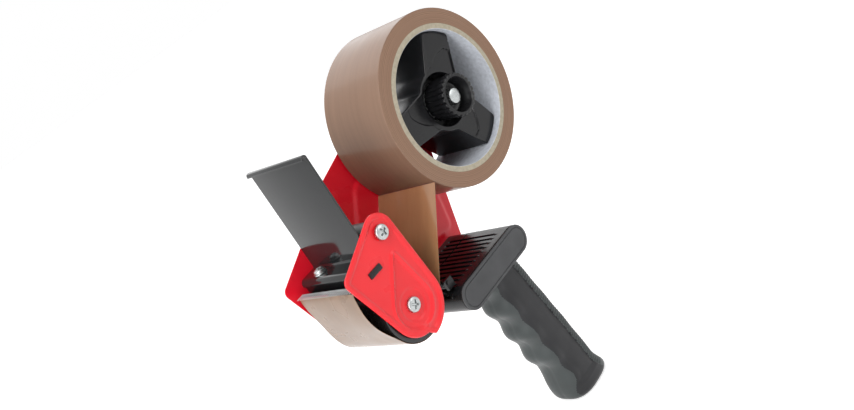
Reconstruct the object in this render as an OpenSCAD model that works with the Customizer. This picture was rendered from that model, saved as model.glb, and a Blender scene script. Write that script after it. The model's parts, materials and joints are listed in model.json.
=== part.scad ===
// Hand-held packing tape dispenser with a pistol grip.
// The origin lies on the hub axis, at the middle of the tape's width.
// Front is -X, the open loading side is -Y and up is +Z.

/* [Tape] */
// Width of the tape and of its core
tape_w = 48; // [44:0.5:50]
// Outer radius of the wound tape
roll_r = 49.9; // [46:0.1:52]
// Inner radius of the cardboard core
core_bore_r = 38.1; // [37.5:0.1:38.5]
// Wall of the cardboard core
core_wall = 3.1; // [2:0.1:4]
// Thickness that stands in for one layer of tape
film_t = 0.4; // [0.2:0.05:0.5]
// Angle on the roll where the tape peels off
peel_a = 212; // [206:1:218]
// Angle on the roller where the tape leaves for the blade
leave_a = 207; // [200:1:212]

/* [Side plates] */
// Thickness of the pressed steel
plate_t = 1.2; // [0.8:0.1:2]
// Room between the tape's edge and each plate
side_room = 1.5; // [1.2:0.1:2.5]
// Depth of the pressed dish around the roller screw
dish_d = 0.8; // [0.4:0.1:1]
// Radius of the dish
dish_r = 13; // [11:0.5:14]
// How far the dish's pointed tip lies from the roller axis
dish_tip = 26.6; // [22:0.2:28]
// Radius of the round end at the upper screw
upper_r = 10; // [8:0.5:12]
// Radius of the front corner
nose_r = 4; // [2:0.5:6]
// How far the roller stands out below the plates
roller_proud = 2.3; // [1:0.1:4]
// How far the guard at the roller's back reaches past the roller
guard_past = 1.1; // [0.8:0.1:3]

/* [Places ahead of and below the hub] */
// Roller axis, ahead of the hub
roller_ahead = 99.7; // [96:0.1:103]
// Roller axis, below the hub
roller_below = 62.1; // [60:0.1:64]
// Upper screw, ahead of the hub
upper_ahead = 91.7; // [89:0.1:94]
// Upper screw, below the hub
upper_below = 22; // [20:0.1:24]
// Centre of the plates' front corner, above the roller
nose_over = 14; // [13:0.1:16]
// Gap between the wiper and the upper spacer
flap_gap = 4; // [2.5:0.1:5]

/* [Roller] */
// Outer radius of the roller
roller_r = 19.1; // [17:0.1:20]
// Wall of the roller's sleeve
roller_wall = 3.5; // [2:0.1:5]
// Radius of the roller's axle
axle_r = 4; // [3.5:0.1:6]
// Length of each end bush in the sleeve
bush_len = 8; // [5:0.5:14]
// How deep the bushes sit inside the sleeve's ends
bush_in = 1.5; // [0.5:0.1:3]

/* [Blade and wiper] */
// Teeth of the blade
blade_teeth = 38; // [24:1:48]
// Depth of a tooth
tooth_d = 1.6; // [1:0.1:2.5]
// Thickness of the blade
blade_t = 0.6; // [0.4:0.1:1]
// Depth of the blade from its teeth to its back edge
blade_d = 15; // [12:0.5:17]
// Upward slant of the blade
blade_a = 20; // [14:1:22]
// How far the blade stands out ahead of its holder
blade_out = 10.1; // [8:0.1:11]
// Depth of the blade holder from front to back
holder_d = 12.5; // [11:0.1:14]
// Height of the blade holder's front face
holder_h = 7.4; // [6:0.1:8.5]
// Width of the slot that the holder's lug passes through
lug_w = 9.3; // [6:0.1:10]
// Height of that slot
lug_h = 3.4; // [2:0.1:4]
// Thickness of the wiper's sheet
wiper_t = 1.2; // [0.8:0.1:1.6]
// Height of the wiper above its foot
wiper_h = 62.4; // [50:0.2:75]
// Inside radius of the bend at the wiper's foot
wiper_bend_r = 1.3; // [1:0.1:2]
// Inside radius of the lip rolled at the front of the wiper's foot
wiper_lip_r = 1.8; // [1.2:0.1:2.5]
// Room between each edge of the wiper and its plate
wiper_room = 0.5; // [0.4:0.1:1.5]

/* [Body] */
// Radius of the body's round ends
body_r = 8.25; // [7.5:0.05:9]
// Distance between the centres of the round ends
body_len = 47.2; // [44:0.2:52]
// Room between the roller and the body
body_behind = 7.25; // [6:0.05:9]
// Gap between the body and the keeper's bracket above it
body_gap = 1.3; // [0.6:0.1:2]
// Centre of the body, below the hub
body_below = 85.65; // [84:0.05:88]
// Wall of the body shells
body_wall = 2.4; // [1.8:0.1:3]
// Thickness of the end cap
cap_t = 2.6; // [2:0.1:4]
// Length of the far shell, from the side plate to the parting line
far_shell_len = 16.5; // [14:0.5:30]
// Number of slots across the top
slot_count = 12; // [6:1:14]
// Pitch of the slots
slot_pitch = 4; // [3:0.1:4.5]
// Width of a slot
slot_w = 1.4; // [0.8:0.1:2]
// Depth of a slot
slot_d = 1.3; // [0.6:0.1:1.6]

/* [Grip] */
// Length of the grip below the body
grip_len = 105.5; // [90:0.5:120]
// Width of the grip
grip_w = 30; // [26:0.5:34]
// Depth of the grip from its finger grooves to its back
grip_d = 29; // [27:0.5:34]
// Front of the grip at its top, behind the body's front round
grip_behind = 24.2; // [22:0.2:28]
// How far the grip leans back for each millimetre down
grip_lean = 0.142; // [0.08:0.002:0.2]
// Height of the bumps between the fingers
bump_h = 3; // [1:0.2:4]
// Pitch of the fingers
finger_pitch = 20.6; // [18:0.2:23]
// Flare of the grip at its butt
butt_flare = 4; // [2:0.5:6]
// Rounding of the butt's edge
butt_round = 5; // [3:0.5:7]
// Wall of the grip's shells
grip_wall = 3; // [2:0.2:4]

/* [Hub and knob] */
// Radius of the hub's barrel
hub_r = 18; // [16:0.5:20]
// Length of the hub
hub_len = 40; // [34:0.5:42]
// Width of a hub arm at its pad
arm_w = 19; // [14:0.5:22]
// Direction of the first arm
arm_a = 58; // [50:1:66]
// Radius of the hub's bolt
bolt_r = 4.7; // [4:0.1:5]
// Outer radius of the knob
knob_r = 12.2; // [11:0.1:12.6]
// Length of the knob
knob_len = 16; // [13:0.5:18]
// Lobes round the knob
knob_lobes = 24; // [16:1:30]
// How far the knob stands out past the tape's near edge
knob_proud = 7; // [5:0.5:10]
// Room for the tension spring behind the washer
spring_len = 7; // [6:0.2:8]
// Turns of the tension spring
spring_turns = 3; // [2:0.5:3]
// Wire radius of the tension spring
wire_r = 0.6; // [0.4:0.05:0.65]

/* [Keeper flap] */
// Pin of the keeper flap, behind the roller axis
keeper_behind = 29.5; // [29:0.1:30.5]
// Length of the flap from its pin
keeper_h = 9.3; // [7:0.1:9.4]
// Thickness of the flap
keeper_t = 1.4; // [1:0.1:1.8]
// Radius of the keeper's pin
keeper_pin_r = 1.2; // [1:0.05:1.5]

/* [Fasteners and fits] */
// Radius of the screws' shanks
screw_r = 2.3; // [1.8:0.1:2.5]
// Radius of the screws' heads
head_r = 4.3; // [3.8:0.1:5]
// Height of the screws' heads
head_h = 2.4; // [1.6:0.1:3]
// Length of a screw under its head
screw_len = 12; // [10:0.5:16]
// Radius of the small screws' shanks
small_r = 1.5; // [1.2:0.1:1.8]
// Radius of the small screws' heads
small_head_r = 3.1; // [2.6:0.1:3.6]
// Height of the small screws' heads
small_head_h = 1.9; // [1.2:0.1:2.4]
// Length of a small screw under its head
small_len = 10; // [8:0.5:14]
// Radial clearance of a running fit
run_fit = 0.06; // [0.03:0.01:0.1]
// Gap between pieces that move past each other
run_gap = 0.3; // [0.25:0.05:0.4]
// Clearance between pieces that are fixed to each other
seat_gap = 0.05; // [0.02:0.01:0.1]

/* [Hidden] */
$fn = 64;

plate_red = "#e8303c";
deep_red = "#c01828";
gloss_black = "#1c1c1e";
soft_black = "#2e2f31";
grey = "#56585a";
zinc = "#cdd3d3";
card = "#c9bfa5";
brown = "#93765f";

// Places in the X, Z plane
roller = [-roller_ahead, -roller_below];
upper = [-upper_ahead, -upper_below];
body_front = [roller.x + roller_r + body_behind + body_r, -body_below];
body_rear = body_front + [body_len, 0];

// Keeper flap above the body, with its leaf spring and bracket round its knuckle
knuckle_wall = 0.8;
knuckle_r = keeper_pin_r + knuckle_wall;
leaf_t = 0.5;
leaf_out = knuckle_r + run_gap + leaf_t;
bracket_t = 1;
bracket_out = leaf_out + bracket_t;
ear_t = 2;
keeper = [roller.x + keeper_behind, body_front.y + body_r + body_gap + bracket_out];

// Wiper in front of the upper spacer, and the plates' nose in front of the wiper's foot
spacer_in = 3.5;
spacer_r = upper_r - spacer_in;
flap_x = upper.x - spacer_r - flap_gap - wiper_t;
bend_lead = 0.3;
foot_len = 7.6;
lip_back = 9.6;
nose = [flap_x - wiper_bend_r - bend_lead - foot_len - lip_back, roller.y + roller_r + nose_over];

// Faces along Y: the plates' inner and outer faces and the roller's ends
inner = tape_w / 2 + side_room;
outer = inner + plate_t;
dish_in = inner - dish_d;
roller_end = dish_in - run_gap;

// Outline of the front of both plates: upper screw, nose, roller and the guard at the roller's back
belt_sides = 10;
plate_round = roller_r - roller_proud;
guard_r = roller_r + guard_past;
upper_circle = [upper.x, upper.y, upper_r];
nose_circle = [nose.x, nose.y, nose_r];
roller_circle = [roller.x, roller.y, plate_round];
guard_circle = [roller.x, roller.y, guard_r];
guard_from = -92;
front_points = concat(
    round_points(guard_circle, upper_circle, nose_circle, belt_sides),
    round_points(upper_circle, nose_circle, roller_circle, belt_sides),
    arc_points(roller, plate_round, angle_of(tangent_dir(nose_circle, roller_circle)), guard_from, belt_sides),
    arc_points(roller, guard_r, guard_from, angle_of(tangent_dir(guard_circle, upper_circle)), belt_sides)
);

// Outline of the main plate behind the front: hub, shoulder, body, heel and rear
plate_shoulder = [-64.5, -4.6, 6.7];
plate_crown = [-6, 12, 6.7];
plate_back = [5.5, 5, 7];
plate_heel = [-15.5, -84, 7.9];
plate_rear = [3.9, -28, 7];
belt_in = 2;
main_belt = [
    plate_back, plate_crown, plate_shoulder,
    [upper.x, upper.y, upper_r - belt_in], [roller.x, roller.y, plate_round - belt_in],
    [body_front.x, body_front.y, body_r], [body_rear.x, body_rear.y, body_r], plate_heel, plate_rear,
];
body_belt = [[body_rear.x, body_rear.y, body_r], [body_front.x, body_front.y, body_r]];

// Corners of the pressed panel on the main plate's inner face, each with its radius
panel_d = 0.5;
panel_belt = [
    [-6, -28, 7], [-55.5, -13.6, 6.7], [-69.2, -31, 6.7], [-57.3, -67.3, 6.7], [-13.6, -69, 5],
];

dish_a = 75;
dish_tip_r = 1.5;
dish_point = roller + dish_tip * [cos(dish_a), sin(dish_a)];
dish_belt = [[roller.x, roller.y, dish_r], [dish_point.x, dish_point.y, dish_tip_r]];

// Wiper foot, holder and blade, set out from the plates' nose
foot_up = 0.6;
lip_tuck = 0.2;
blade_room = 1;
bead_out = 0.1;
bead_r = wiper_t / 2 + bead_out;
foot_z = nose.y + foot_up;
foot_under = foot_z - wiper_t;
lip_centre = [nose.x + lip_back, foot_under - wiper_lip_r];
holder_front = lip_centre.x - wiper_lip_r + lip_tuck;
holder_back = holder_front + holder_d;
holder_foot = foot_under - holder_h;
blade_up = [-cos(blade_a), sin(blade_a)];
blade_root = [holder_front, holder_foot];
blade_tip = blade_root + blade_out * blade_up - blade_t / 2 * [sin(blade_a), cos(blade_a)];
blade_tail = blade_tip - blade_d * blade_up;
blade_half = inner - blade_room;
wiper_half = inner - wiper_room;
hinge = [lip_centre.x + foot_len, foot_under + wiper_t / 2];
bend_centre = [hinge.x + bend_lead, foot_z + wiper_bend_r];
top_lip_r = 0.6;
top_lip_mid = top_lip_r + wiper_t / 2;
top_turn = 200;
flap_top = foot_z + wiper_h - top_lip_r - wiper_t;
screw_ahead = 0.7;
wiper_screw_x = (lip_centre.x + hinge.x) / 2 - screw_ahead;
wiper_screw_ys = wiper_half * [-0.74, 0.5];
rivet_in = blade_out + 0.35 * (blade_d - blade_out);
rivet_y = 0.62 * wiper_half;
rivet_len = 3.5;
washer_t = 0.8;
lip_mid = wiper_lip_r + wiper_t / 2;
bend_mid = wiper_bend_r + wiper_t / 2;
foot_path = concat(
    [[hinge.x - bead_r - run_gap, hinge.y]],
    arc_points(lip_centre, lip_mid, 90, 190, 8)
);
flap_path = concat(
    [hinge],
    arc_points(bend_centre, bend_mid, -90, 0, 8),
    arc_points([flap_x - top_lip_r, flap_top], top_lip_mid, 0, top_turn, 12)
);
lug_share = [0.55, 0.6];
lug = [holder_front + lug_share.x * holder_d, foot_under - lug_share.y * holder_h];

// Path of the tape from the roll round the roller to the blade
film_r = roller_r + run_gap + film_t / 2;
peel = (roll_r + run_gap + film_t / 2) * [cos(peel_a), sin(peel_a)];
to_roller = roller - peel;
run_a = atan2(to_roller.y, to_roller.x) + asin(film_r / norm(to_roller)) + 360;
wrap_from = run_a + 90 - 360;
wrap_to = leave_a - 360;
leave = roller + film_r * [cos(leave_a), sin(leave_a)];
stuck_len = 1.2;
tape_end = blade_tip - stuck_len * blade_up - (blade_t / 2 + run_gap + film_t / 2) * [0, 1];
bow_share = 0.53;
bow_lead = leave + bow_share * norm(tape_end - leave) * [sin(leave_a), -cos(leave_a)];
bow_steps = 11;
tape_path = concat(
    [peel],
    arc_points(roller, film_r, wrap_from, wrap_to, 24),
    [for (i = [1:bow_steps]) curve_point(leave, bow_lead, tape_end, i / bow_steps)]
);

// Hub stack along Y, from the knob's front rim to the far nut
knob_front = -(tape_w / 2 + knob_proud);
knob_back = knob_front + knob_len;
tension_washer_t = 1;
hub_floor = knob_back + run_gap + tension_washer_t + spring_len;
hub_front = -hub_len / 2;
hub_back = hub_len / 2;
core_room = 0.15;
arm_reach = core_bore_r - core_room;
recess_room = 0.8;
recess_r = knob_r + recess_room;
cup_d = 5;
knob_floor = knob_front + cup_d;
nut_af = 15;
nut_h = 6.5;
knob_nut_h = 5;
bolt_stub = 2.2;
bolt_tip = knob_floor - bolt_stub;
bolt_past = 1.5;
bolt_end = outer + nut_h + bolt_past;
washer_r = 11;
hub_spacer_wall = 3;
bolt_slot_d = 1.6;
spring_r = (washer_r + bolt_r) / 2;
spring_from = hub_floor - spring_len + wire_r + run_gap;
spring_to = hub_floor - wire_r - run_gap;

// Body along Y
cap_proud = 1;
cap_plug = 4;
groove_in = 1.6;
groove_w = 0.5;
cap_face = -(inner + cap_proud);
near_shell_from = cap_face + cap_t;
parting = inner - far_shell_len;
body_under = body_front.y - body_r;
end_wall = 3;
slot_in = 4.5;
slot_skew = 4.5;
slot_end = 5;
front_slot_in = 10;
boss_r = 4.2;
body_screw_in = 3;
body_screw_xs = [body_front.x + body_screw_in, body_front.x + body_len / 2, body_rear.x - body_screw_in];

// Grip outline: X of the front and back at a depth below the body
grip_x = body_front.x + grip_behind;
grip_rings = 38;
grip_sides = 12;
grip_power = 2.7;
first_valley = 37;
bump_power = 2;
last_bump = 1.7;
thin_from = 60;
thin_rate = 0.02;
flare_len = 16;
grip_screw_depths = [22, 78];
grip_bolt_in = [15, 5];
grip_bolt_xs = [for (d = grip_bolt_in) body_rear.x - d];
grip_bolt_len = 22;
head_room = 0.6;
grip_plug_r = small_head_r + head_room;
boss_wall = 1.6;
grip_boss_r = grip_plug_r + boss_wall;
hollow_top = 6;
hollow_in = [1.6, 2];
side_wall = 1.8;

// Screws, their threads and the upper spacer
dome_share = 0.62;
cross_share = [1.05, 0.26];
thread_room = 2;

// How far a cut runs past the piece it cuts
over = 1;

// Keeper flap behind the roller
keeper_room = 7.5;
keeper_half = inner - keeper_room;
keeper_lean = 6;
ear_from = -keeper_half - run_gap - ear_t;
pin_out = 0.6;

// Point on the unit circle
function cosd(a) = [cos(a), sin(a)];

// Points of an arc about c, from angle a0 to a1
function arc_points(c, r, a0, a1, n) = [for (i = [0:n]) c + r * cosd(a0 + (a1 - a0) * i / n)];

// Point at share t of a curve that leaves a towards b and ends at c
function curve_point(a, b, c, t) = (1 - t) * (1 - t) * a + 2 * t * (1 - t) * b + t * t * c;

// Smooth step from 0 to 1
function smooth(t) = let(u = min(1, max(0, t))) u * u * (3 - 2 * u);

// Outward direction of the tangent shared by two circles [x, z, r]
function tangent_dir(a, b) =
    let(d = [b.x - a.x, b.y - a.y], l = norm(d), u = d / l, k = (a.z - b.z) / l)
    sqrt(1 - k * k) * [u.y, -u.x] + k * u;

// Angle of a direction
function angle_of(v) = atan2(v.y, v.x);

// Corners of the belt round circles listed anticlockwise
function belt_points(c) = [
    for (i = [0:len(c) - 1])
        let(a = c[i], b = c[(i + 1) % len(c)], n = tangent_dir(a, b))
        each [[a.x, a.y] + a.z * n, [b.x, b.y] + b.z * n]
];

// Round of circle c between the belt's stretches from circle a and to circle b, in n short sides
function round_points(a, c, b, n) =
    let(from = angle_of(tangent_dir(a, c)), turn = (angle_of(tangent_dir(c, b)) - from + 720) % 360)
    arc_points([c.x, c.y], c.z, from, from + turn, n);

// The same belt with its rounds as short straight sides, n to each round
function belt_arcs(c, n) = [
    for (i = [0:len(c) - 1])
        each round_points(c[(i + len(c) - 1) % len(c)], c[i], c[(i + 1) % len(c)], n)
];

// Left-hand direction of a path at point i
function left_dir(p, i) =
    let(a = p[max(0, i - 1)], b = p[min(len(p) - 1, i + 1)], d = (b - a) / norm(b - a))
    [-d.y, d.x];

// Outline of a strip of thickness t along a path
function strip_points(p, t) = concat(
    [for (i = [0:len(p) - 1]) p[i] + t / 2 * left_dir(p, i)],
    [for (i = [len(p) - 1:-1:0]) p[i] - t / 2 * left_dir(p, i)]
);

// Outline of the grip at depth s below the body
function grip_bump(s) =
    s < first_valley + 2 * finger_pitch
        ? bump_h * pow(abs(sin(180 * (s - first_valley) / finger_pitch)), bump_power)
        : last_bump * bump_h * smooth((s - first_valley - 2 * finger_pitch) / finger_pitch);
function butt_inset(s) =
    let(h = max(0, butt_round - (grip_len - s))) butt_round - sqrt(butt_round * butt_round - h * h);
function grip_front(s) = grip_x + grip_lean * s - grip_bump(s) + butt_inset(s);
function grip_back(s) =
    grip_x + grip_d + grip_lean * s - butt_inset(s)
    + butt_flare * smooth((s - grip_len + flare_len) / flare_len) - thin_rate * max(0, s - thin_from);
function grip_half_w(s) = grip_w / 2 - butt_inset(s);

// Ring of the grip at depth s, from its front edge round one side to its back edge
function grip_ring(s, side) =
    let(xf = grip_front(s), xb = grip_back(s), w = grip_half_w(s), p = 2 / grip_power)
    [for (j = [0:grip_sides])
        let(t = 180 * j / grip_sides, c = sign(cos(t)) * pow(abs(cos(t)), p), q = pow(abs(sin(t)), p))
        [(xf + xb) / 2 - (xb - xf) / 2 * c, side * w * q, body_under - s]];

// Depths of the rings, closer together at the butt
function grip_depth(i) =
    let(top = -body_r, straight = grip_len - butt_round, n = grip_rings - 6)
    i <= n ? top + (straight - top) * i / n
           : straight + butt_round * sin(89 * (i - n) / (grip_rings - n));

// Points of a helix about Y
function helix_points(r, y0, y1, turns, steps) = [
    for (i = [0:steps])
        let(a = 360 * turns * i / steps)
        [r * cos(a), y0 + (y1 - y0) * i / steps, r * sin(a)]
];

// Least distance between stretches of a coil that lie a turn apart
function coil_gap(p, per_turn) =
    min([for (i = [0:len(p) - 1 - per_turn]) norm(p[i + per_turn] - p[i])]) - 2 * wire_r;

// Extrude an X, Z outline from y0 to y1
module upright(y0, y1) {
    translate([0, y1, 0])
        rotate([90, 0, 0])
            linear_extrude(y1 - y0)
                children();
}

// Round bar along Y
module rod(p, y0, y1, r) {
    translate([p.x, y0, p.y])
        rotate([-90, 0, 0])
            cylinder(r = r, h = y1 - y0);
}

// Outline round circles listed anticlockwise
module belt(c) {
    polygon(belt_points(c));
    for (p = c)
        translate([p.x, p.y])
            circle(r = p.z);
}

// Domed screw along +Y with its head's seat at the origin, head towards -Y
module screw(shank, head, height, length) {
    rotate([-90, 0, 0]) {
        cylinder(r = shank, h = length);
        translate([0, 0, -height / 2])
            cylinder(r = head, h = height / 2);
        translate([0, 0, -height])
            cylinder(r1 = dome_share * head, r2 = head, h = height / 2);
    }
}

// Cross recess for a screw's head
module cross_recess(head, height) {
    for (a = [0, 90])
        rotate([0, a, 0])
            cube([head * cross_share.x, height, head * cross_share.y], center = true);
}

// Holes that both side plates share
module front_holes(y0, y1) {
    rod(upper, y0, y1, screw_r + 2 * seat_gap);
    rod(roller, y0, y1, screw_r + 2 * seat_gap);
    translate([lug.x - lug_w / 2, y0, lug.y - lug_h / 2])
        cube([lug_w, y1 - y0, lug_h]);
}

module main_side_plate() {
    color(deep_red)
        difference() {
            union() {
                upright(inner, outer) {
                    polygon(front_points);
                    polygon(belt_arcs(main_belt, belt_sides));
                }
                upright(dish_in, inner)
                    belt(dish_belt);
            }
            upright(outer - dish_d, outer + over)
                offset_belt(dish_belt, -plate_t);
            upright(inner - over, inner + panel_d)
                polygon(belt_arcs(panel_belt, belt_sides));
            front_holes(dish_in - over, outer + over);
            rod([0, 0], inner - over, outer + over, bolt_r + seat_gap);
            for (x = body_screw_xs)
                rod([x, body_front.y], inner - over, outer + over, small_r + 2 * seat_gap);
            rod(keeper, inner - over, outer + over, keeper_pin_r + seat_gap);
        }
}

// Belt with every circle changed by d
module offset_belt(c, d) {
    belt([for (p = c) [p.x, p.y, max(0.3, p.z + d)]]);
}

module cheek_plate() {
    color(plate_red)
        difference() {
            union() {
                upright(-outer, -inner)
                    polygon(front_points);
                upright(-inner, -dish_in)
                    belt(dish_belt);
            }
            upright(-outer - over, -outer + dish_d)
                offset_belt(dish_belt, -plate_t);
            front_holes(-outer - over, -dish_in + over);
        }
}

// Tube with threaded ends that holds the plates apart at the upper screws
module upper_spacer() {
    color(grey)
        difference() {
            rod(upper, -inner, inner, spacer_r);
            for (s = [-1, 1])
                threaded_end(upper, s, inner);
        }
}

// Threaded hole in the end at y = s * end
module threaded_end(p, s, end) {
    depth = screw_len + thread_room;
    rod(p, s > 0 ? end - depth : -end - over, s > 0 ? end + over : -end + depth, screw_r + seat_gap);
}

module frame_screws() {
    color(zinc)
        for (s = [-1, 1]) {
            plate_screw(upper, s, outer);
            plate_screw(roller, s, outer - dish_d);
        }
}

// Screw through a side plate, its head seated at y = s * seat
module plate_screw(p, s, seat) {
    translate([p.x, s * seat, p.y])
        rotate([0, 0, s > 0 ? 180 : 0])
            difference() {
                screw(screw_r, head_r, head_h, screw_len);
                translate([0, -head_h, 0])
                    cross_recess(head_r, head_h);
            }
}

module roller_axle() {
    color(zinc)
        difference() {
            rod(roller, -dish_in, dish_in, axle_r);
            for (s = [-1, 1])
                threaded_end(roller, s, dish_in);
        }
}

// Bar under the wiper's foot that carries the blade and locks into both plates
module blade_holder() {
    nose_round = wiper_lip_r + seat_gap;
    slope = tan(blade_a) * holder_d;
    color(gloss_black)
        difference() {
            union() {
                upright(-inner, inner) {
                    polygon([
                        [holder_front, holder_foot], [holder_back, holder_foot - slope],
                        [holder_back, foot_under - 2.5], [hinge.x - 1, foot_under],
                        [holder_front + nose_round, foot_under],
                        [holder_front, foot_under - nose_round],
                    ]);
                    translate([holder_front + nose_round, foot_under - nose_round])
                        circle(r = nose_round);
                }
                translate([lug.x - lug_w / 2 + seat_gap, -outer, lug.y - lug_h / 2 + seat_gap])
                    cube([lug_w - 2 * seat_gap, 2 * outer, lug_h - 2 * seat_gap]);
            }
            for (y = wiper_screw_ys)
                translate([wiper_screw_x, y, foot_under - small_len])
                    cylinder(r = small_r + seat_gap, h = small_len + over);
            for (s = [-1, 1])
                blade_place()
                    translate([rivet_in, s * rivet_y, -over])
                        cylinder(r = small_r + seat_gap, h = rivet_len + 1.5);
        }
}

// Frame of the blade: X from its teeth to its back edge, Z up through its thickness
module blade_place() {
    translate([blade_tip.x, 0, blade_tip.y])
        rotate([0, blade_a, 0])
            children();
}

module cutting_blade() {
    pitch = 2 * blade_half / blade_teeth;
    color(zinc)
        difference() {
            blade_place()
                translate([0, 0, -blade_t / 2])
                    linear_extrude(blade_t)
                        polygon(concat(
                            [[blade_d, -blade_half], [blade_d, blade_half]],
                            [for (i = [blade_teeth - 1:-1:0])
                                each [
                                    [tooth_d, -blade_half + (i + 1) * pitch],
                                    [0, -blade_half + (i + 0.5) * pitch],
                                ]],
                            [[tooth_d, -blade_half]]
                        ));
            for (s = [-1, 1])
                blade_place()
                    translate([rivet_in, s * rivet_y, -blade_t])
                        cylinder(r = small_r + seat_gap, h = 2 * blade_t);
        }
}

module blade_rivets() {
    rivet_head = 0.7;
    color(zinc)
        for (s = [-1, 1])
            blade_place()
                translate([rivet_in, s * rivet_y, -blade_t / 2]) {
                    cylinder(r = small_r, h = blade_t + rivet_len - 0.5);
                    translate([0, 0, -rivet_head])
                        cylinder(r = small_head_r - head_room, h = rivet_head);
                }
}

module wiper_foot() {
    color(grey)
        difference() {
            upright(-wiper_half, wiper_half)
                polygon(strip_points(foot_path, wiper_t));
            for (y = wiper_screw_ys)
                translate([wiper_screw_x, y, foot_under - over])
                    cylinder(r = small_r + 2 * seat_gap, h = wiper_t + 2);
        }
}

module wiper_screws() {
    color(zinc)
        for (y = wiper_screw_ys)
            translate([wiper_screw_x, y, foot_z + washer_t])
                rotate([-90, 0, 0])
                    difference() {
                        screw(small_r, small_head_r, small_head_h, small_len);
                        translate([0, -small_head_h, 0])
                            cross_recess(small_head_r, small_head_h);
                    }
}

module wiper_washers() {
    color(zinc)
        for (y = wiper_screw_ys)
            translate([wiper_screw_x, y, foot_z])
                difference() {
                    cylinder(r = small_head_r + head_room, h = washer_t);
                    translate([0, 0, -over])
                        cylinder(r = small_r + 2 * seat_gap, h = washer_t + 2);
                }
}

// Single layer of tape from the roll round the roller to the blade
module tape_web() {
    color(brown)
        upright(-tape_w / 2, tape_w / 2)
            polygon(strip_points(tape_path, film_t));
}

// Body's outline with its edge moved by d
module body_outline(d) {
    offset_belt(body_belt, d);
}

// Slots across the top of the body and one on its front round
module body_slots() {
    for (i = [0:slot_count - 1]) {
        x = body_front.x + body_len / 2 + (i - (slot_count - 1) / 2) * slot_pitch;
        drop = max(0, body_front.x - x, x - body_rear.x);
        z = body_front.y + sqrt(body_r * body_r - drop * drop);
        slot_from = near_shell_from + slot_in + slot_skew * (1 - i / slot_count);
        translate([x - slot_w / 2, slot_from, z - slot_d])
            cube([slot_w, inner - slot_end - slot_from, 2 * slot_d]);
    }
    translate([body_front.x - body_r - slot_d, near_shell_from + front_slot_in, body_front.y - slot_w / 2])
        cube([2 * slot_d, inner - slot_end - near_shell_from - front_slot_in, slot_w]);
}

module body_shell_near() {
    color(gloss_black)
        difference() {
            upright(near_shell_from, parting)
                difference() {
                    body_outline(0);
                    body_outline(-body_wall);
                }
            body_slots();
            grip_bolt_holes();
        }
}

module body_shell_far() {
    color(gloss_black)
        difference() {
            union() {
                upright(parting, inner)
                    difference() {
                        body_outline(0);
                        body_outline(-body_wall);
                    }
                upright(inner - end_wall, inner)
                    body_outline(-body_wall / 2);
                intersection() {
                    for (x = body_screw_xs)
                        rod([x, body_front.y], inner - small_len - 3, inner, boss_r);
                    upright(parting, inner)
                        body_outline(-body_wall / 2);
                }
            }
            for (x = body_screw_xs)
                rod([x, body_front.y], inner - small_len - over, inner + over, small_r + seat_gap);
            body_slots();
        }
}

// Cap with a plug that fits in the near shell and a fine groove round its face
module body_end_cap() {
    color(grey)
        difference() {
            union() {
                upright(cap_face, near_shell_from)
                    body_outline(0);
                upright(near_shell_from, near_shell_from + cap_plug)
                    body_outline(-body_wall - 2 * seat_gap);
            }
            upright(cap_face + cap_t, near_shell_from + cap_plug + over)
                body_outline(-2 * body_wall);
            upright(cap_face - over, cap_face + groove_w)
                difference() {
                    body_outline(-groove_in);
                    body_outline(-groove_in - groove_w);
                }
        }
}

module body_screws() {
    color(zinc)
        for (x = body_screw_xs)
            translate([x, outer, body_front.y])
                rotate([0, 0, 180])
                    difference() {
                        screw(small_r, small_head_r, small_head_h, small_len);
                        translate([0, -small_head_h, 0])
                            cross_recess(small_head_r, small_head_h);
                    }
}

// One half of the grip's outer form, from the middle out to the side
module grip_form(side) {
    rings = [for (i = [0:grip_rings]) grip_ring(grip_depth(i), side)];
    n = grip_sides + 1;
    sides = [
        for (i = [0:grip_rings - 1])
            for (j = [0:grip_sides])
                let(a = i * n + j, b = i * n + (j + 1) % n)
                each [[a, b, a + n], [b, b + n, a + n]]
    ];
    caps = [
        for (j = [1:grip_sides - 1])
            each [[0, j + 1, j], [grip_rings * n, grip_rings * n + j, grip_rings * n + j + 1]]
    ];
    faces = concat(sides, caps);
    polyhedron([for (r = rings) each r], side < 0 ? faces : [for (f = faces) [f[2], f[1], f[0]]]);
}

// Hollow inside each half of the grip, with the bosses for its screws and bolts left standing
module grip_hollow(y0, y1) {
    s0 = hollow_top;
    s1 = grip_len - 2 * grip_wall;
    front = grip_x + hollow_in[0] * grip_wall;
    back = grip_x + grip_d - hollow_in[1] * grip_wall;
    difference() {
        upright(y0, y1)
            polygon([
                [front + grip_lean * s0, body_under - s0], [front + grip_lean * s1, body_under - s1],
                [back + grip_lean * s1, body_under - s1], [back + grip_lean * s0, body_under - s0],
            ]);
        for (s = grip_screw_depths)
            rod(grip_screw_place(s), y0 - over, y1 + over, grip_boss_r);
        for (x = grip_bolt_xs)
            translate([x, 0, body_under - grip_bolt_len - 4])
                cylinder(r = screw_r + boss_wall, h = grip_bolt_len + 5);
    }
}

function grip_screw_place(s) = [grip_x + grip_d / 2 + grip_lean * s, body_under - s];

// Bores for the two bolts that hold the grip to the body
module grip_bolt_holes() {
    for (x = grip_bolt_xs)
        translate([x, 0, body_under - grip_bolt_len - 2])
            cylinder(r = screw_r + seat_gap, h = grip_bolt_len + 2 + body_wall + over);
}

module grip_half(side) {
    skin = grip_w / 2 - side_wall * grip_wall;
    difference() {
        grip_form(side);
        grip_hollow(side < 0 ? -skin : -over, side < 0 ? over : skin);
        upright(-grip_w, grip_w)
            body_outline(seat_gap);
        grip_bolt_holes();
        for (s = grip_screw_depths) {
            rod(grip_screw_place(s), -small_len / 2 - over, grip_w, small_r + seat_gap);
            rod(grip_screw_place(s), small_len / 2, grip_w, grip_plug_r);
        }
    }
}

module grip_near() {
    color(soft_black)
        grip_half(-1);
}

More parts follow.
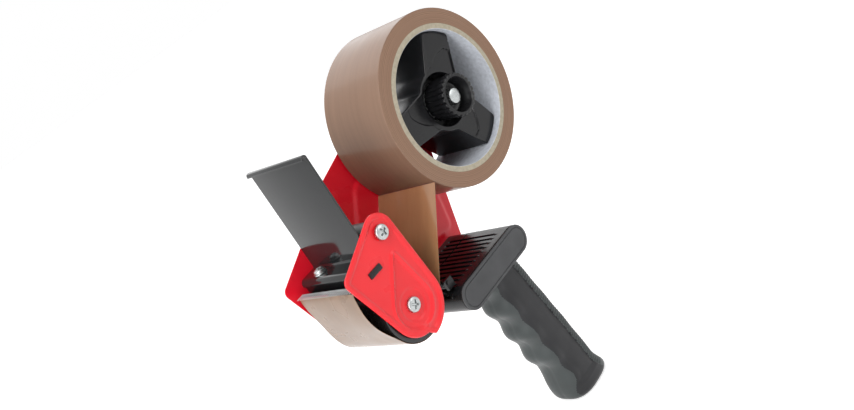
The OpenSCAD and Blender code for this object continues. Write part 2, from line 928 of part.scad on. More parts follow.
module grip_far() {
    color(soft_black)
        grip_half(1);
}

// Screws that join the two halves of the grip, sunk in from the far side
module grip_screws() {
    color(zinc)
        for (s = grip_screw_depths)
            translate([grip_screw_place(s).x, small_len / 2, grip_screw_place(s).y])
                rotate([0, 0, 180])
                    difference() {
                        screw(small_r, small_head_r, small_head_h, small_len);
                        translate([0, -small_head_h, 0])
                            cross_recess(small_head_r, small_head_h);
                    }
}

// Bolts down from inside the body into the grip
module grip_bolts() {
    color(zinc)
        for (x = grip_bolt_xs)
            translate([x, 0, body_under + body_wall])
                rotate([-90, 0, 0])
                    screw(screw_r, head_r, head_h, grip_bolt_len);
}

// Bolt that carries the hub
module hub_bolt() {
    color(zinc)
        difference() {
            rod([0, 0], bolt_tip, bolt_end, bolt_r);
            translate([0, bolt_tip, 0])
                cross_recess(bolt_r, bolt_slot_d);
        }
}

// Hexagon nut along Y with its own bore
module nut(y0, y1, af, bore) {
    difference() {
        translate([0, y0, 0])
            rotate([-90, 0, 0])
                cylinder(r = af / sqrt(3), h = y1 - y0, $fn = 6);
        rod([0, 0], y0 - over, y1 + over, bore);
    }
}

module hub_nut() {
    color(zinc)
        nut(outer, outer + nut_h, nut_af, bolt_r + seat_gap);
}

// Tube on the bolt between the hub's back and the main plate
module hub_spacer() {
    color(zinc)
        difference() {
            rod([0, 0], hub_back + run_gap, inner, bolt_r + hub_spacer_wall);
            rod([0, 0], hub_back, inner + over, bolt_r + seat_gap);
        }
}

module tension_washer() {
    color(zinc)
        difference() {
            rod([0, 0], knob_back + run_gap, knob_back + run_gap + tension_washer_t, washer_r);
            rod([0, 0], knob_back, knob_back + 2 * tension_washer_t + over, bolt_r + run_gap);
        }
}

// Coil that presses the washer away from the hub: one tube of six sides
module tension_spring() {
    steps = ceil(8 * spring_turns);
    path = helix_points(spring_r, spring_from, spring_to, spring_turns, steps);
    echo(spring_least_gap = coil_gap(path, 8));
    sides = 6;
    points = [
        for (i = [0:steps])
            let(a = 360 * spring_turns * i / steps)
            for (k = [0:sides - 1])
                let(b = 360 * k / sides, out = wire_r * cos(b))
                path[i] + [out * cos(a), wire_r * sin(b), out * sin(a)]
    ];
    skin = [
        for (i = [0:steps - 1])
            for (k = [0:sides - 1])
                let(a = i * sides + k, b = i * sides + (k + 1) % sides)
                each [[a, a + sides, b], [b, a + sides, b + sides]]
    ];
    ends = [
        for (k = [1:sides - 2])
            each [[0, k, k + 1], [steps * sides, steps * sides + k + 1, steps * sides + k]]
    ];
    color(zinc)
        polyhedron(points, concat(skin, ends));
}

// Frame of the keeper: its pin along Y at the origin and its flap up along Z
module keeper_place() {
    translate([keeper.x, 0, keeper.y])
        rotate([0, -90, 0])
            children();
}

// Channel fixed to the main plate, with ears round the keeper's pin
module keeper_bracket() {
    width = bracket_out + knuckle_r;
    color(gloss_black)
        keeper_place()
            difference() {
                union() {
                    upright(ear_from, inner)
                        translate([-bracket_out, -bracket_out]) {
                            square([width, bracket_t]);
                            square([bracket_t, bracket_out]);
                        }
                    for (y = [ear_from, keeper_half + run_gap])
                        upright(y, y + ear_t)
                            translate([-bracket_out, -bracket_out])
                                square([width, width]);
                }
                rod([0, 0], -inner - over, inner + over, keeper_pin_r + seat_gap);
            }
}

module keeper_pin() {
    color(zinc)
        rod(keeper, ear_from - pin_out, outer, keeper_pin_r);
}

// Bent leaf under the flap that presses it towards the tape
module keeper_spring() {
    leaf_w = 16;
    side = leaf_out + knuckle_r;
    color(zinc)
        keeper_place()
            upright(-leaf_w / 2, leaf_w / 2)
                translate([-leaf_out, -leaf_out]) {
                    square([side, leaf_t]);
                    square([leaf_t, side]);
                }
}

// Scalloped cup that screws on the bolt and sets the hub's drag
module tension_knob() {
    lobe_r = PI * knob_r / knob_lobes * 0.62;
    color(gloss_black)
        difference() {
            union() {
                rod([0, 0], knob_front, knob_back, knob_r - lobe_r);
                for (i = [0:knob_lobes - 1])
                    rod((knob_r - lobe_r) * cosd(360 * i / knob_lobes), knob_front, knob_back, lobe_r);
            }
            rod([0, 0], knob_front - over, knob_floor, knob_r - 2 * lobe_r + 0.2);
            rod([0, 0], knob_front, knob_back + over, bolt_r + run_fit);
            translate([0, knob_back - knob_nut_h, 0])
                rotate([-90, 0, 0])
                    cylinder(r = nut_af / sqrt(3) + 2 * seat_gap, h = knob_nut_h + over, $fn = 6);
        }
}

module knob_nut() {
    color(zinc)
        nut(knob_back - knob_nut_h, knob_back, nut_af, bolt_r + run_fit);
}

// Barrel with three arms whose pads grip the core
module hub() {
    color(gloss_black)
        difference() {
            upright(hub_front, hub_back)
                union() {
                    circle(r = hub_r);
                    intersection() {
                        circle(r = arm_reach);
                        for (i = [0:2])
                            rotate(arm_a + 120 * i)
                                polygon([
                                    [0, -hub_r], [hub_r * 0.75, -arm_w * 0.62], [core_bore_r, -arm_w / 2],
                                    [core_bore_r, arm_w / 2], [hub_r * 0.75, arm_w * 0.62], [0, hub_r],
                                ]);
                    }
                }
            rod([0, 0], hub_front - over, hub_floor, recess_r);
            rod([0, 0], hub_front, hub_back + over, bolt_r + run_fit);
            for (i = [0:2])
                arm_window(arm_a + 120 * i);
        }
}

// Hollow in the back of each arm
module arm_window(a) {
    wall = 2.2;
    upright(hub_front + wall, hub_back + over)
        rotate(a)
            translate([hub_r + wall, -arm_w / 2 + wall])
                square([arm_reach - hub_r - 3 * wall, arm_w - 2 * wall]);
}

module roll_core() {
    color(card)
        difference() {
            rod([0, 0], -tape_w / 2, tape_w / 2, core_bore_r + core_wall);
            rod([0, 0], -tape_w / 2 - over, tape_w / 2 + over, core_bore_r);
        }
}

module tape_roll() {
    color(brown)
        difference() {
            rod([0, 0], -tape_w / 2, tape_w / 2, roll_r);
            rod([0, 0], -tape_w / 2 - over, tape_w / 2 + over, core_bore_r + core_wall + seat_gap);
        }
}

module roller_sleeve() {
    color(soft_black)
        difference() {
            rod(roller, -roller_end, roller_end, roller_r);
            rod(roller, -roller_end - over, roller_end + over, roller_r - roller_wall);
        }
}

module roller_bushes() {
    color(gloss_black)
        for (s = [-1, 1])
            difference() {
                rod(roller, bush_from(s), bush_from(s) + bush_len, roller_r - roller_wall - seat_gap);
                rod(roller, bush_from(s) - over, bush_from(s) + bush_len + over, axle_r + run_fit);
            }
}

function bush_from(s) = s < 0 ? -roller_end + bush_in : roller_end - bush_in - bush_len;

// Upright sheet of the wiper with its bend, its rolled top lip and a bead along the line it flexes about
module wiper_flap() {
    color(grey)
        union() {
            upright(-wiper_half, wiper_half)
                polygon(strip_points(flap_path, wiper_t));
            rod(hinge, bead_out - wiper_half, wiper_half - bead_out, bead_r);
        }
}

// Flap on the keeper's pin that stops the tape from falling back
module keeper_flap() {
    top_half = keeper_half - 3;
    color(gloss_black)
        difference() {
            union() {
                rod(keeper, -keeper_half, keeper_half, knuckle_r);
                keeper_place()
                    rotate([0, keeper_lean, 0])
                        translate([-keeper_t / 2, 0, 0])
                            rotate([90, 0, 90])
                                linear_extrude(keeper_t)
                                    polygon([
                                        [-keeper_half, 0], [keeper_half, 0],
                                        [top_half, keeper_h], [-top_half, keeper_h],
                                    ]);
            }
            rod(keeper, -keeper_half - over, keeper_half + over, keeper_pin_r + run_fit);
        }
}

main_side_plate();
cheek_plate();
upper_spacer();
frame_screws();
roller_axle();
blade_holder();
cutting_blade();
blade_rivets();
wiper_foot();
wiper_screws();
wiper_washers();
tape_web();
body_shell_near();
body_shell_far();
body_end_cap();
body_screws();
grip_near();
grip_far();
grip_screws();
grip_bolts();
hub_bolt();
hub_nut();
hub_spacer();
tension_washer();
tension_spring();
keeper_bracket();
keeper_pin();
keeper_spring();
tension_knob();
knob_nut();
hub();
roll_core();
tape_roll();
roller_sleeve();
roller_bushes();
wiper_flap();
keeper_flap();
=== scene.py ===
"""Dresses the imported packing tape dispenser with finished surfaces, materials and a plain stage."""

import json

import bmesh
import bpy
import numpy as np
from bpy.props import FloatProperty, FloatVectorProperty, IntProperty, PointerProperty
from mathutils import Matrix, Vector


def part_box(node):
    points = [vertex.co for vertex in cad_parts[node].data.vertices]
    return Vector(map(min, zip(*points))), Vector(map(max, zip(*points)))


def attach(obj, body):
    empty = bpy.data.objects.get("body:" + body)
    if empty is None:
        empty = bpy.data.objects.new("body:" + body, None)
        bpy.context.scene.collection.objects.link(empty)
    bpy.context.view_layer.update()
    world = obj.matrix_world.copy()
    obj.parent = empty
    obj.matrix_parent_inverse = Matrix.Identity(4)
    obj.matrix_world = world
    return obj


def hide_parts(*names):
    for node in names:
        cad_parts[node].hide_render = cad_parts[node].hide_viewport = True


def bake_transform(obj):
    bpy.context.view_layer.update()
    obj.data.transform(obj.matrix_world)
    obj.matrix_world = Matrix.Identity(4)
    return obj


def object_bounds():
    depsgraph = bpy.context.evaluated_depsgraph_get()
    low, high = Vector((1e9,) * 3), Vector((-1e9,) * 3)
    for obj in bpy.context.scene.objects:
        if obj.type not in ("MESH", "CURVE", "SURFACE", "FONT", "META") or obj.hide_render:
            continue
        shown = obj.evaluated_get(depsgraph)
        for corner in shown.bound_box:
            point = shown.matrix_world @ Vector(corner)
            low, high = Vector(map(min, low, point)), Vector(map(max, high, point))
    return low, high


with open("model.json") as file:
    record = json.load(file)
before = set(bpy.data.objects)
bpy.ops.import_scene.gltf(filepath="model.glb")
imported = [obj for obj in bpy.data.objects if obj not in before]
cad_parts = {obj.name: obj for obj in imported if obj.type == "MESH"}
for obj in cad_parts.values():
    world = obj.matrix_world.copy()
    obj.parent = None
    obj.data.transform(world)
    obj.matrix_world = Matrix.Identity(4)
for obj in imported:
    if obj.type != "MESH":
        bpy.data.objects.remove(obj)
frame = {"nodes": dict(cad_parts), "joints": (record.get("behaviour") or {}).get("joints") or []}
CAD_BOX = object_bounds()

bl_info = {
    "name": "Packing Tape Dispenser",
    "version": (1, 0, 0),
    "blender": (4, 5, 0),
    "location": "View3D > Sidebar > Tape Dispenser",
    "description": "Finished surfaces, materials and stage for a packing tape dispenser",
    "category": "Add Mesh",
}


# Places taken from the frame


def corners(node):
    """Lowest and highest corner of a CAD node at rest."""
    low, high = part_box(node)
    return np.array(low), np.array(high)


def joint_place(name):
    """X and Z of a joint's axis."""
    joint = next(j for j in frame["joints"] if j["name"] == name)
    return np.array(joint["pos_m"])[[0, 2]]


HUB = joint_place("roll_spin")
ROLLER = joint_place("roller_spin")
HINGE = joint_place("wiper_flex")
UPPER = (sum(corners("upper_spacer")) / 2)[[0, 2]]
PLATE_IN = corners("upper_spacer")[1][1]
PLATE_OUT = PLATE_IN + 0.0012
ROLL_R, TAPE_HALF = corners("tape_roll")[1][:2]
CORE_R = corners("roll_core")[1][0]
BORE_R = 0.0381
BOLT_HOLE = 0.00476
ROLLER_R = corners("roller_sleeve")[1][0] - ROLLER[0]
ROLLER_END = corners("roller_sleeve")[1][1]
BODY_LOW, BODY_HIGH = corners("body_shell_near")
BODY_R = (BODY_HIGH[2] - BODY_LOW[2]) / 2
BODY_Z = (BODY_HIGH[2] + BODY_LOW[2]) / 2
BODY_FRONT = BODY_LOW[0] + BODY_R
BODY_REAR = BODY_HIGH[0] - BODY_R
BODY_MID = (BODY_FRONT + BODY_REAR) / 2
HOLDER_LOW, HOLDER_HIGH = corners("blade_holder")
HOLDER_TALL = 0.0074
FOOT_TOP = corners("wiper_foot")[1][2]
LUG_X = HOLDER_LOW[0] + 0.55 * (HOLDER_HIGH[0] - HOLDER_LOW[0])
LUG_DOWN = 0.6 * HOLDER_TALL


# Sizes and colours that a user would change


def length(name, description, default):
    """A distance in metres."""
    return FloatProperty(
        name=name, description=description, default=default, min=0, unit="LENGTH", precision=5
    )


def colour(name, description, default):
    """A scene-linear colour."""
    return FloatVectorProperty(
        name=name, description=description, default=default, subtype="COLOR", size=3, min=0, max=1
    )


def number(name, description, default, least, most):
    """A count."""
    return IntProperty(name=name, description=description, default=default, min=least, max=most)


class DispenserSizes(bpy.types.PropertyGroup):
    """Sizes of details that only the finished surfaces show."""

    edge_round: length("Edge round", "Rounding of the pressed plates' edges", 0.0010)
    border: length("Border", "Width of the raised border along the plates' edges", 0.0030)
    border_step: length("Border step", "Height of that border", 0.0007)
    bead: length("Dish bead", "Height of the bead round the pressed dish", 0.0006)
    panel_depth: length("Panel depth", "Height of the panel pressed in the main plate", 0.0009)
    panel_bevel: length("Panel bevel", "Width of the slope round that panel", 0.0030)
    nose_radius: length("Nose radius", "Radius of the plates' front corner", 0.004)
    roller_proud: length("Roller proud", "How far the roller stands out below the plates", 0.0023)
    guard_past: length("Guard past", "How far the guard reaches past the roller", 0.0011)
    dish_radius: length("Dish radius", "Radius of the pressed dish round the roller screw", 0.0130)
    dish_depth: length("Dish depth", "Depth of that dish on the plate's inner face", 0.0008)
    dish_inner: length("Inner dish radius", "Radius of the second, inner step of the dish", 0.0093)
    film: length("Film", "Thickness of the threaded layer of tape", 0.00012)
    film_skew: length("Film skew", "How far the tape's near edge bows ahead of its middle", 0.0022)
    sheet: length("Wiper sheet", "Thickness of the wiper's sheet", 0.0012)
    groove: length("Body groove", "Depth of the grooves across the body", 0.0013)
    slot_pitch: length("Groove pitch", "Distance between those grooves", 0.00392)
    finger_pitch: length("Finger pitch", "Distance between the bumps of the grip", 0.0206)
    bump: length("Finger bump", "Height of the bumps of the grip", 0.0030)
    ridge: length("Grip ridge", "Height of the fine ridges on the grip's back", 0.0007)
    tooth: length("Tooth", "Length of a tooth of the blade", 0.0050)
    teeth: number("Teeth", "Teeth of the blade", 22, 8, 60)
    lobes: number("Knob lobes", "Lobes round the tension knob", 24, 8, 40)


class DispenserColours(bpy.types.PropertyGroup):
    """Colours of the finishes."""

    cheek: colour("Near plate", "Bright red enamel of the near plate", (0.88, 0.020, 0.028))
    plate: colour("Main plate", "Deep red enamel of the main plate", (0.90, 0.010, 0.028))
    black: colour("Black", "Glossy black mouldings", (0.010, 0.010, 0.011))
    grip: colour("Grip panel", "Dark grey of the grip's sides", (0.020, 0.020, 0.022))
    # The band is lighter than the panels partly as the grip's own second grey and partly as painted sheen: the
    # glossy reflection on its front and ridged back is put in its colour.
    band: colour("Grip band", "Lighter grey of the grip's front and ridged back", (0.052, 0.060, 0.060))
    cap: colour("End cap", "Matte grey of the end cap", (0.066, 0.067, 0.070))
    wiper: colour("Wiper", "Glossy grey of the wiper", (0.014, 0.015, 0.016))
    zinc: colour("Zinc", "Bright zinc plate", (0.45, 0.47, 0.47))
    card: colour("Core", "Card of the core's end", (0.46, 0.41, 0.31))
    bore: colour("Core bore", "Lining of the core's bore", (0.64, 0.67, 0.73))
    wound: colour("Wound tape", "Brown of the wound tape", (0.27, 0.160, 0.105))
    film: colour("Tape film", "Brown of the film's smooth side", (0.50, 0.255, 0.120))
    glue: colour("Tape adhesive", "Brown of the film's adhesive side", (0.25, 0.160, 0.105))


# Outlines in the X, Z plane


SQUARE = np.array([[-1, -1], [1, -1], [1, 1], [-1, 1]])


def unit(angles):
    """Unit vectors at angles in radians."""
    return np.stack([np.cos(angles), np.sin(angles)], axis=-1)


def full_turn(count):
    """Angles of a full turn in even steps."""
    return np.linspace(0, 2 * np.pi, count, endpoint=False)


def arc(centre, radius, start, end, count):
    """Points on a circle from one angle to another, in degrees."""
    return np.asarray(centre) + radius * unit(np.radians(np.linspace(start, end, count)))


def tangent_angles(circles):
    """Outward direction, in degrees, of the tangent from each circle (x, z, r) to the next in the ring."""
    c = np.asarray(circles)
    step = np.roll(c, -1, axis=0) - c
    span = np.hypot(step[:, 0], step[:, 1])
    u = step[:, :2] / span[:, None]
    k = -step[:, 2] / span
    out = np.sqrt(1 - k**2)[:, None] * np.stack([u[:, 1], -u[:, 0]], axis=1) + k[:, None] * u
    return np.degrees(np.arctan2(out[:, 1], out[:, 0]))


def belt(circles, count=24):
    """Outline round circles (x, z, r) listed anticlockwise: arcs joined by the outer tangents."""
    c = np.asarray(circles)
    leave = tangent_angles(c)
    arrive = np.roll(leave, 1)
    turn = (leave - arrive) % 360
    return np.concatenate([arc(p[:2], p[2], a, a + t, count) for p, a, t in zip(c, arrive, turn)])


def cross(a, b):
    """Cross product of plane vectors."""
    return a[..., 0] * b[..., 1] - a[..., 1] * b[..., 0]


def left_of(d):
    """Unit vectors a quarter turn to the left of directions."""
    size = np.maximum(np.hypot(d[..., 0], d[..., 1]), 1e-12)
    return np.stack([-d[..., 1], d[..., 0]], axis=-1) / size[..., None]


def inward(loop):
    """Unit normals of a closed outline listed anticlockwise, towards its inside."""
    return left_of(np.roll(loop, -1, axis=0) - np.roll(loop, 1, axis=0))


def running_mean(ring, reach_out):
    """Mean of each entry of a ring and of a few neighbours on both sides."""
    return np.mean([np.roll(ring, k, axis=0) for k in range(-reach_out, reach_out + 1)], axis=0)


def reach(centre, angles, outline):
    """Distance along each ray from a centre to its last crossing with an outline, or 0 where it misses."""
    ray = unit(angles)[:, None]
    start = (outline - centre)[None]
    side = (np.roll(outline, -1, axis=0) - outline)[None]
    with np.errstate(divide="ignore", invalid="ignore"):
        along = cross(start, side) / cross(ray, side)
        share = cross(start, ray) / cross(ray, side)
    hit = (share >= -1e-9) & (share <= 1 + 1e-9) & (along > 0)
    return np.where(hit, along, 0).max(axis=1)


def sides(outline):
    """Start and vector of each side of a closed outline."""
    return zip(outline, np.roll(outline, -1, axis=0) - outline)


def edge_distance(points, outline):
    """Distance of each point to the nearest side of a closed outline."""
    flat = points.reshape(-1, 2)
    best = np.full(len(flat), np.inf)
    for start, side in sides(outline):
        along = np.clip((flat - start) @ side / max(side @ side, 1e-18), 0, 1)
        off = flat - start - along[:, None] * side
        best = np.minimum(best, np.hypot(off[:, 0], off[:, 1]))
    return best.reshape(points.shape[:-1])


def drop_distance(points, a, ra, b, rb):
    """Signed distance to the outline round two circles: to the nearer circle, or to the tangent between."""
    axis = b - a
    h = np.hypot(*axis)
    p = points - a
    y = p @ axis / h
    x = np.abs(cross(np.broadcast_to(axis / h, p.shape), p))
    k = (ra - rb) / h
    s = np.sqrt(1 - k**2)
    side = -k * x + s * y
    ends = np.hypot(x, y) - ra, np.hypot(x, y - h) - rb
    return np.where(side < 0, ends[0], np.where(side > s * h, ends[1], s * x + k * y - ra))


def depth_inside(points, outline):
    """Distance of each point inside a convex outline listed anticlockwise, negative outside it."""
    best = np.full(points.shape[:-1], np.inf)
    for start, side in sides(outline):
        long = np.hypot(*side)
        if long > 1e-9:
            best = np.minimum(best, cross(side / long, points - start))
    return best


def smooth(t):
    """Smooth step from 0 to 1."""
    t = np.clip(t, 0, 1)
    return t * t * (3 - 2 * t)


def soften(points, cut, steps=5):
    """Rounds each corner of an outline: a parabola from a cut before the corner to a cut after it."""
    p = np.asarray(points, float)
    before = np.roll(p, 1, axis=0) - p
    after = np.roll(p, -1, axis=0) - p
    short = np.minimum(np.hypot(*before.T), np.hypot(*after.T))
    reach_in = np.minimum(cut, 0.48 * short)[:, None]
    a = p + before / np.hypot(*before.T)[:, None] * reach_in
    b = p + after / np.hypot(*after.T)[:, None] * reach_in
    t = np.linspace(0, 1, steps)[None, :, None]
    curve = (1 - t) ** 2 * a[:, None] + 2 * t * (1 - t) * p[:, None] + t**2 * b[:, None]
    return curve.reshape(-1, 2)


def strip(path, thick):
    """Outline of a strip of even thickness along a path: the path moved to both sides along its normal."""
    n = left_of(np.gradient(path, axis=0))
    return np.concatenate([path + n * thick / 2, (path - n * thick / 2)[::-1]])


# Surfaces as rows of points


def raised(outline, y):
    """An X, Z outline as points in space at height y."""
    outline = np.asarray(outline)
    return np.stack([outline[..., 0], np.broadcast_to(y, outline.shape[:-1]), outline[..., 1]], axis=-1)


def inset_rows(loop, insets, heights):
    """Rows of an anticlockwise outline, each set in by a distance and raised to a height."""
    return np.stack([raised(loop + inward(loop) * i, y) for i, y in zip(insets, heights)])


def rounded_rows(outline, y0, y1, radius, steps):
    """Rows of a bar along Y: at depth r(1 - cos a) from each end its outline is set in by r(1 - sin a)."""
    area = cross(outline, np.roll(outline, -1, axis=0)).sum()
    a = np.linspace(0, np.pi / 2, steps)
    inset, depth = radius * (1 - np.sin(a)), radius * (1 - np.cos(a))
    heights = np.concatenate([y0 + depth, y1 - depth[::-1]])
    return inset_rows(outline if area > 0 else outline[::-1], [*inset, *inset[::-1]], heights)


def spun_rows(radii, heights, centre):
    """Rows round a line along Y: a radius for each height and each even angle."""
    a = full_turn(radii.shape[1])
    y = np.asarray(heights)[:, None] + 0 * a
    return np.stack([centre[0] + radii * np.cos(a), y, centre[1] + radii * np.sin(a)], axis=-1)


def turned_rows(profile, centre, count):
    """Rows of a body turned about a line along Y: each (radius, y) of the profile makes a circle."""
    profile = np.asarray(profile)
    return spun_rows(np.repeat(profile[:, :1], count, axis=1), profile[:, 1], centre)


class Patch:
    """Grid of points with its quads, closed round its columns and, if asked, its rows or ends."""

    def __init__(self, rows, ring=False, caps=True, material=0, closed=True):
        n, m = rows.shape[:2]
        r = np.arange(n if ring else n - 1)
        c = np.arange(m if closed else m - 1)
        r, c = np.meshgrid(r, c, indexing="ij")
        quads = [r * m + c, r * m + (c + 1) % m, (r + 1) % n * m + (c + 1) % m, (r + 1) % n * m + c]
        self.points = rows.reshape(-1, 3)
        self.faces = np.stack(quads, axis=-1).reshape(-1, 4).tolist()
        self.material = [material] * len(self.faces)
        if caps and not ring:
            self.faces += [list(range(m))[::-1], list(range((n - 1) * m, n * m))]
            self.material += [material, material]


def open_patch(rows, material=0):
    """A patch that is open on all four sides."""
    return Patch(np.asarray(rows), caps=False, closed=False, material=material)


def turned_ring(radii, ends, cut, steps, centre, count=96):
    """A ring about a line along Y between two radii and two ends, its edges softened."""
    (inner, outer), (y0, y1) = radii, ends
    profile = soften([(inner, y0), (outer, y0), (outer, y1), (inner, y1)], cut, steps)
    return Patch(turned_rows(profile, centre, count), ring=True)


def add_piece(name, patches, finishes, body, slot, nodes, sharp=38.0):
    """Joins patches into one mesh, closes its seams, turns its faces outwards and lets it ride on a body."""
    points, faces, index, start = [], [], [], 0
    for patch in patches:
        points.append(patch.points)
        faces += [[i + start for i in face] for face in patch.faces]
        index += patch.material
        start += len(patch.points)
    mesh = bpy.data.meshes.new(name)
    mesh.from_pydata(np.concatenate(points).tolist(), [], faces)
    mesh.polygons.foreach_set("material_index", index)
    for finish in finishes:
        mesh.materials.append(material(finish))
    work = bmesh.new()
    work.from_mesh(mesh)
    bmesh.ops.remove_doubles(work, verts=work.verts, dist=1e-7)
    bmesh.ops.recalc_face_normals(work, faces=work.faces)
    work.to_mesh(mesh)
    work.free()
    mesh.shade_smooth()
    mesh.set_sharp_from_angle(angle=np.radians(sharp))
    piece = bpy.data.objects.new(name, mesh)
    bpy.context.scene.collection.objects.link(piece)
    if body:
        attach(piece, body)
    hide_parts(*nodes)
    return piece


def add_zinc(name, patches, node, *sharp):
    """A zinc-plated piece of the frame."""
    add_piece(name, patches, ["zinc"], "frame", "zinc", [node], *sharp)


# Materials


NOISE_SPAN = (0.3, 0.7)


def feed(tree, node, inputs):
    """Sets a node's inputs, by name or number, to values, or links them to other nodes' outputs."""
    for name, value in inputs.items():
        if isinstance(value, bpy.types.NodeSocket):
            tree.links.new(value, node.inputs[name])
        else:
            node.inputs[name].default_value = value


def add_node(tree, kind, inputs, operation=None):
    """A new shader node with its inputs and, for a maths node, its operation."""
    node = tree.nodes.new("ShaderNode" + kind)
    if operation:
        node.operation = operation
    feed(tree, node, inputs)
    return node


def noise(tree, scale, detail, stretch=(1, 1, 1)):
    """Noise of about 1 / scale metres on Object coordinates, stretched along the axes."""
    place = add_node(tree, "TexCoord", {}).outputs["Object"]
    place = add_node(tree, "Mapping", {"Vector": place, "Scale": stretch}).outputs["Vector"]
    return add_node(tree, "TexNoise", {"Vector": place, "Scale": scale, "Detail": detail}).outputs["Fac"]


def rings(tree, scale, detail):
    """Noise along the distance from the roll's axis."""
    place = add_node(tree, "TexCoord", {}).outputs["Object"]
    for operation, value in (("SUBTRACT", (HUB[0], 0, HUB[1])), ("MULTIPLY", (1, 0, 1))):
        place = add_node(tree, "VectorMath", {0: place, 1: value}, operation).outputs["Vector"]
    radius = add_node(tree, "VectorMath", {0: place}, "LENGTH").outputs["Value"]
    layers = add_node(tree, "TexNoise", {"Scale": scale, "Detail": detail})
    layers.noise_dimensions = "1D"
    feed(tree, layers, {"W": radius})
    return layers.outputs["Fac"]


def shade(tone, amount):
    """A colour made darker or lighter."""
    return tuple(min(1.0, c * amount) for c in tone)


def surface(name, tone, tint, rough, relief=None, pattern=noise, **sockets):
    """A Principled material whose tone and relief follow a pattern and whose roughness follows noise.

    Each of tint, rough and relief holds its noise's scale, detail and stretch, and then two values: the
    darkest and lightest share of the tone, the least and greatest roughness, the bump's strength and height.
    """
    made = bpy.data.materials.new(name)
    made.use_nodes = True
    tree = made.node_tree
    ramp = add_node(tree, "ValToRGB", {"Fac": pattern(tree, *tint[0])})
    for stop, position, amount in zip(ramp.color_ramp.elements, NOISE_SPAN, tint[1:]):
        stop.position = position
        stop.color = (*shade(tone, amount), 1)
    ends = dict(zip(("From Min", "From Max", "To Min", "To Max"), (*NOISE_SPAN, *rough[1:])))
    spread = add_node(tree, "MapRange", {"Value": noise(tree, *rough[0]), **ends})
    inputs = {socket.replace("_", " "): value for socket, value in sockets.items()}
    inputs |= {"Base Color": ramp.outputs["Color"], "Roughness": spread.outputs["Result"]}
    if relief:
        grain, strength, height = relief
        bump = add_node(tree, "Bump", {
            "Height": pattern(tree, *grain), "Strength": strength, "Distance": height,
        })
        inputs["Normal"] = bump.outputs["Normal"]
    feed(tree, tree.nodes["Principled BSDF"], inputs)
    return made


def enamel(name, tone):
    """Baked enamel on pressed steel: a clear coat, faint orange peel and slow changes of depth."""
    return surface(name, tone, ((35, 2), 0.96, 1.04), ((60, 2), 0.27, 0.33), ((900, 1), 0.02, 0.0002),
                   Coat_Weight=0.35, Coat_Roughness=0.06, Specular_IOR_Level=0.2)


def moulded(name, tone, rough, grain, depth):
    """Moulded plastic: even colour with faint flow marks and a grain in its surface."""
    return surface(name, tone, ((40, 3), 0.88, 1.12), ((140, 4), rough * 0.85, rough * 1.2),
                   ((grain, 3), depth, 0.0003), Specular_IOR_Level=0.3)


def polished_sheet(name, tone):
    """Glossy springy sheet with a clear coat."""
    return surface(name, tone, ((30, 3), 0.92, 1.08), ((220, 4), 0.10, 0.15),
                   Coat_Weight=0.25, Coat_Roughness=0.03, Specular_IOR_Level=0.4)


def plated(name, tone, stretch=(1, 1, 1), metal=1.0):
    """Zinc plate: bright metal with fine clouding and small scratches."""
    return surface(name, tone, ((600, 4, stretch), 0.86, 1.08), ((900, 4, stretch), 0.20, 0.36),
                   ((2200, 3, stretch), 0.15, 0.0002), Metallic=metal)


def wound_side(name, tone):
    """Outside of the roll: clear film over brown adhesive, with fine lines round the roll."""
    return surface(name, tone, ((1, 4, (14, 420, 14)), 0.94, 1.06), ((40, 2), 0.30, 0.40),
                   Coat_Weight=0.2, Coat_Roughness=0.12, Specular_IOR_Level=0.3)


def wound_end(name, tone):
    """End of the roll: the edges of the layers as fine rings."""
    return surface(name, tone, ((2600, 3), 0.66, 1.20), ((120, 3), 0.42, 0.58), ((5200, 2), 0.12, 0.0003),
                   pattern=rings, Specular_IOR_Level=0.25)


def card(name, tone):
    """Wound card with short fibres."""
    return surface(name, tone, ((500, 5), 0.84, 1.10), ((300, 3), 0.75, 0.95), ((1600, 3), 0.08, 0.0002))


def film_finish(name, tone, clear, rough):
    """Thin brown film that lets some light through."""
    return surface(name, tone, ((1, 3, (30, 160, 30)), 0.92, 1.08), ((70, 3), rough * 0.8, rough * 1.3),
                   Transmission_Weight=clear, IOR=1.45, Coat_Weight=0.4, Coat_Roughness=0.05)


def rubbed(name, tone):
    """Rubbery sleeve with a dull sheen."""
    return surface(name, tone, ((90, 4), 0.8, 1.3), ((120, 3), 0.22, 0.30))


MATERIALS = {}


def material(name):
    """One of the finishes, which are all made on the first call."""
    if not MATERIALS:
        tones = bpy.context.scene.dispenser_colours
        MATERIALS.update({
            "cheek": enamel("enamel_cheek", tones.cheek),
            "plate": enamel("enamel_plate", tones.plate),
            "black": moulded("black_moulding", tones.black, 0.22, 700, 0.03),
            "grip": moulded("grip_moulding", tones.grip, 0.42, 2400, 0.10),
            # Lighter band grey, partly the grip's own tone and partly painted sheen of reflected light on the
            # grip's front and back.
            "band": moulded("grip_band", tones.band, 0.38, 2400, 0.10),
            "cap": moulded("cap_moulding", tones.cap, 0.55, 2800, 0.14),
            "wiper": polished_sheet("wiper_sheet", tones.wiper),
            "zinc": plated("zinc_plate", tones.zinc),
            # The blade's steel is lightened to near white with little metal: a painted highlight that makes the
            # teeth glint.
            "blade": plated("blade_steel", shade(tones.zinc, 1.9), (1, 0.15, 1), 0.2),
            "card": card("core_card", tones.card),
            "bore": card("core_lining", tones.bore),
            # The side is made darker and the end lighter than the wound tape's own brown: painted shade on the
            # roll's side and painted light on its end.
            "side": wound_side("wound_side", shade(tones.wound, 0.92)),
            "end": wound_end("wound_end", shade(tones.wound, 1.1)),
            "film": film_finish("tape_film", tones.film, 0.25, 0.10),
            "glue": film_finish("tape_adhesive", tones.glue, 0.04, 0.30),
            "rubber": rubbed("roller_rubber", (0.014, 0.014, 0.015)),
        })
    return MATERIALS[name]


# Pressed plates


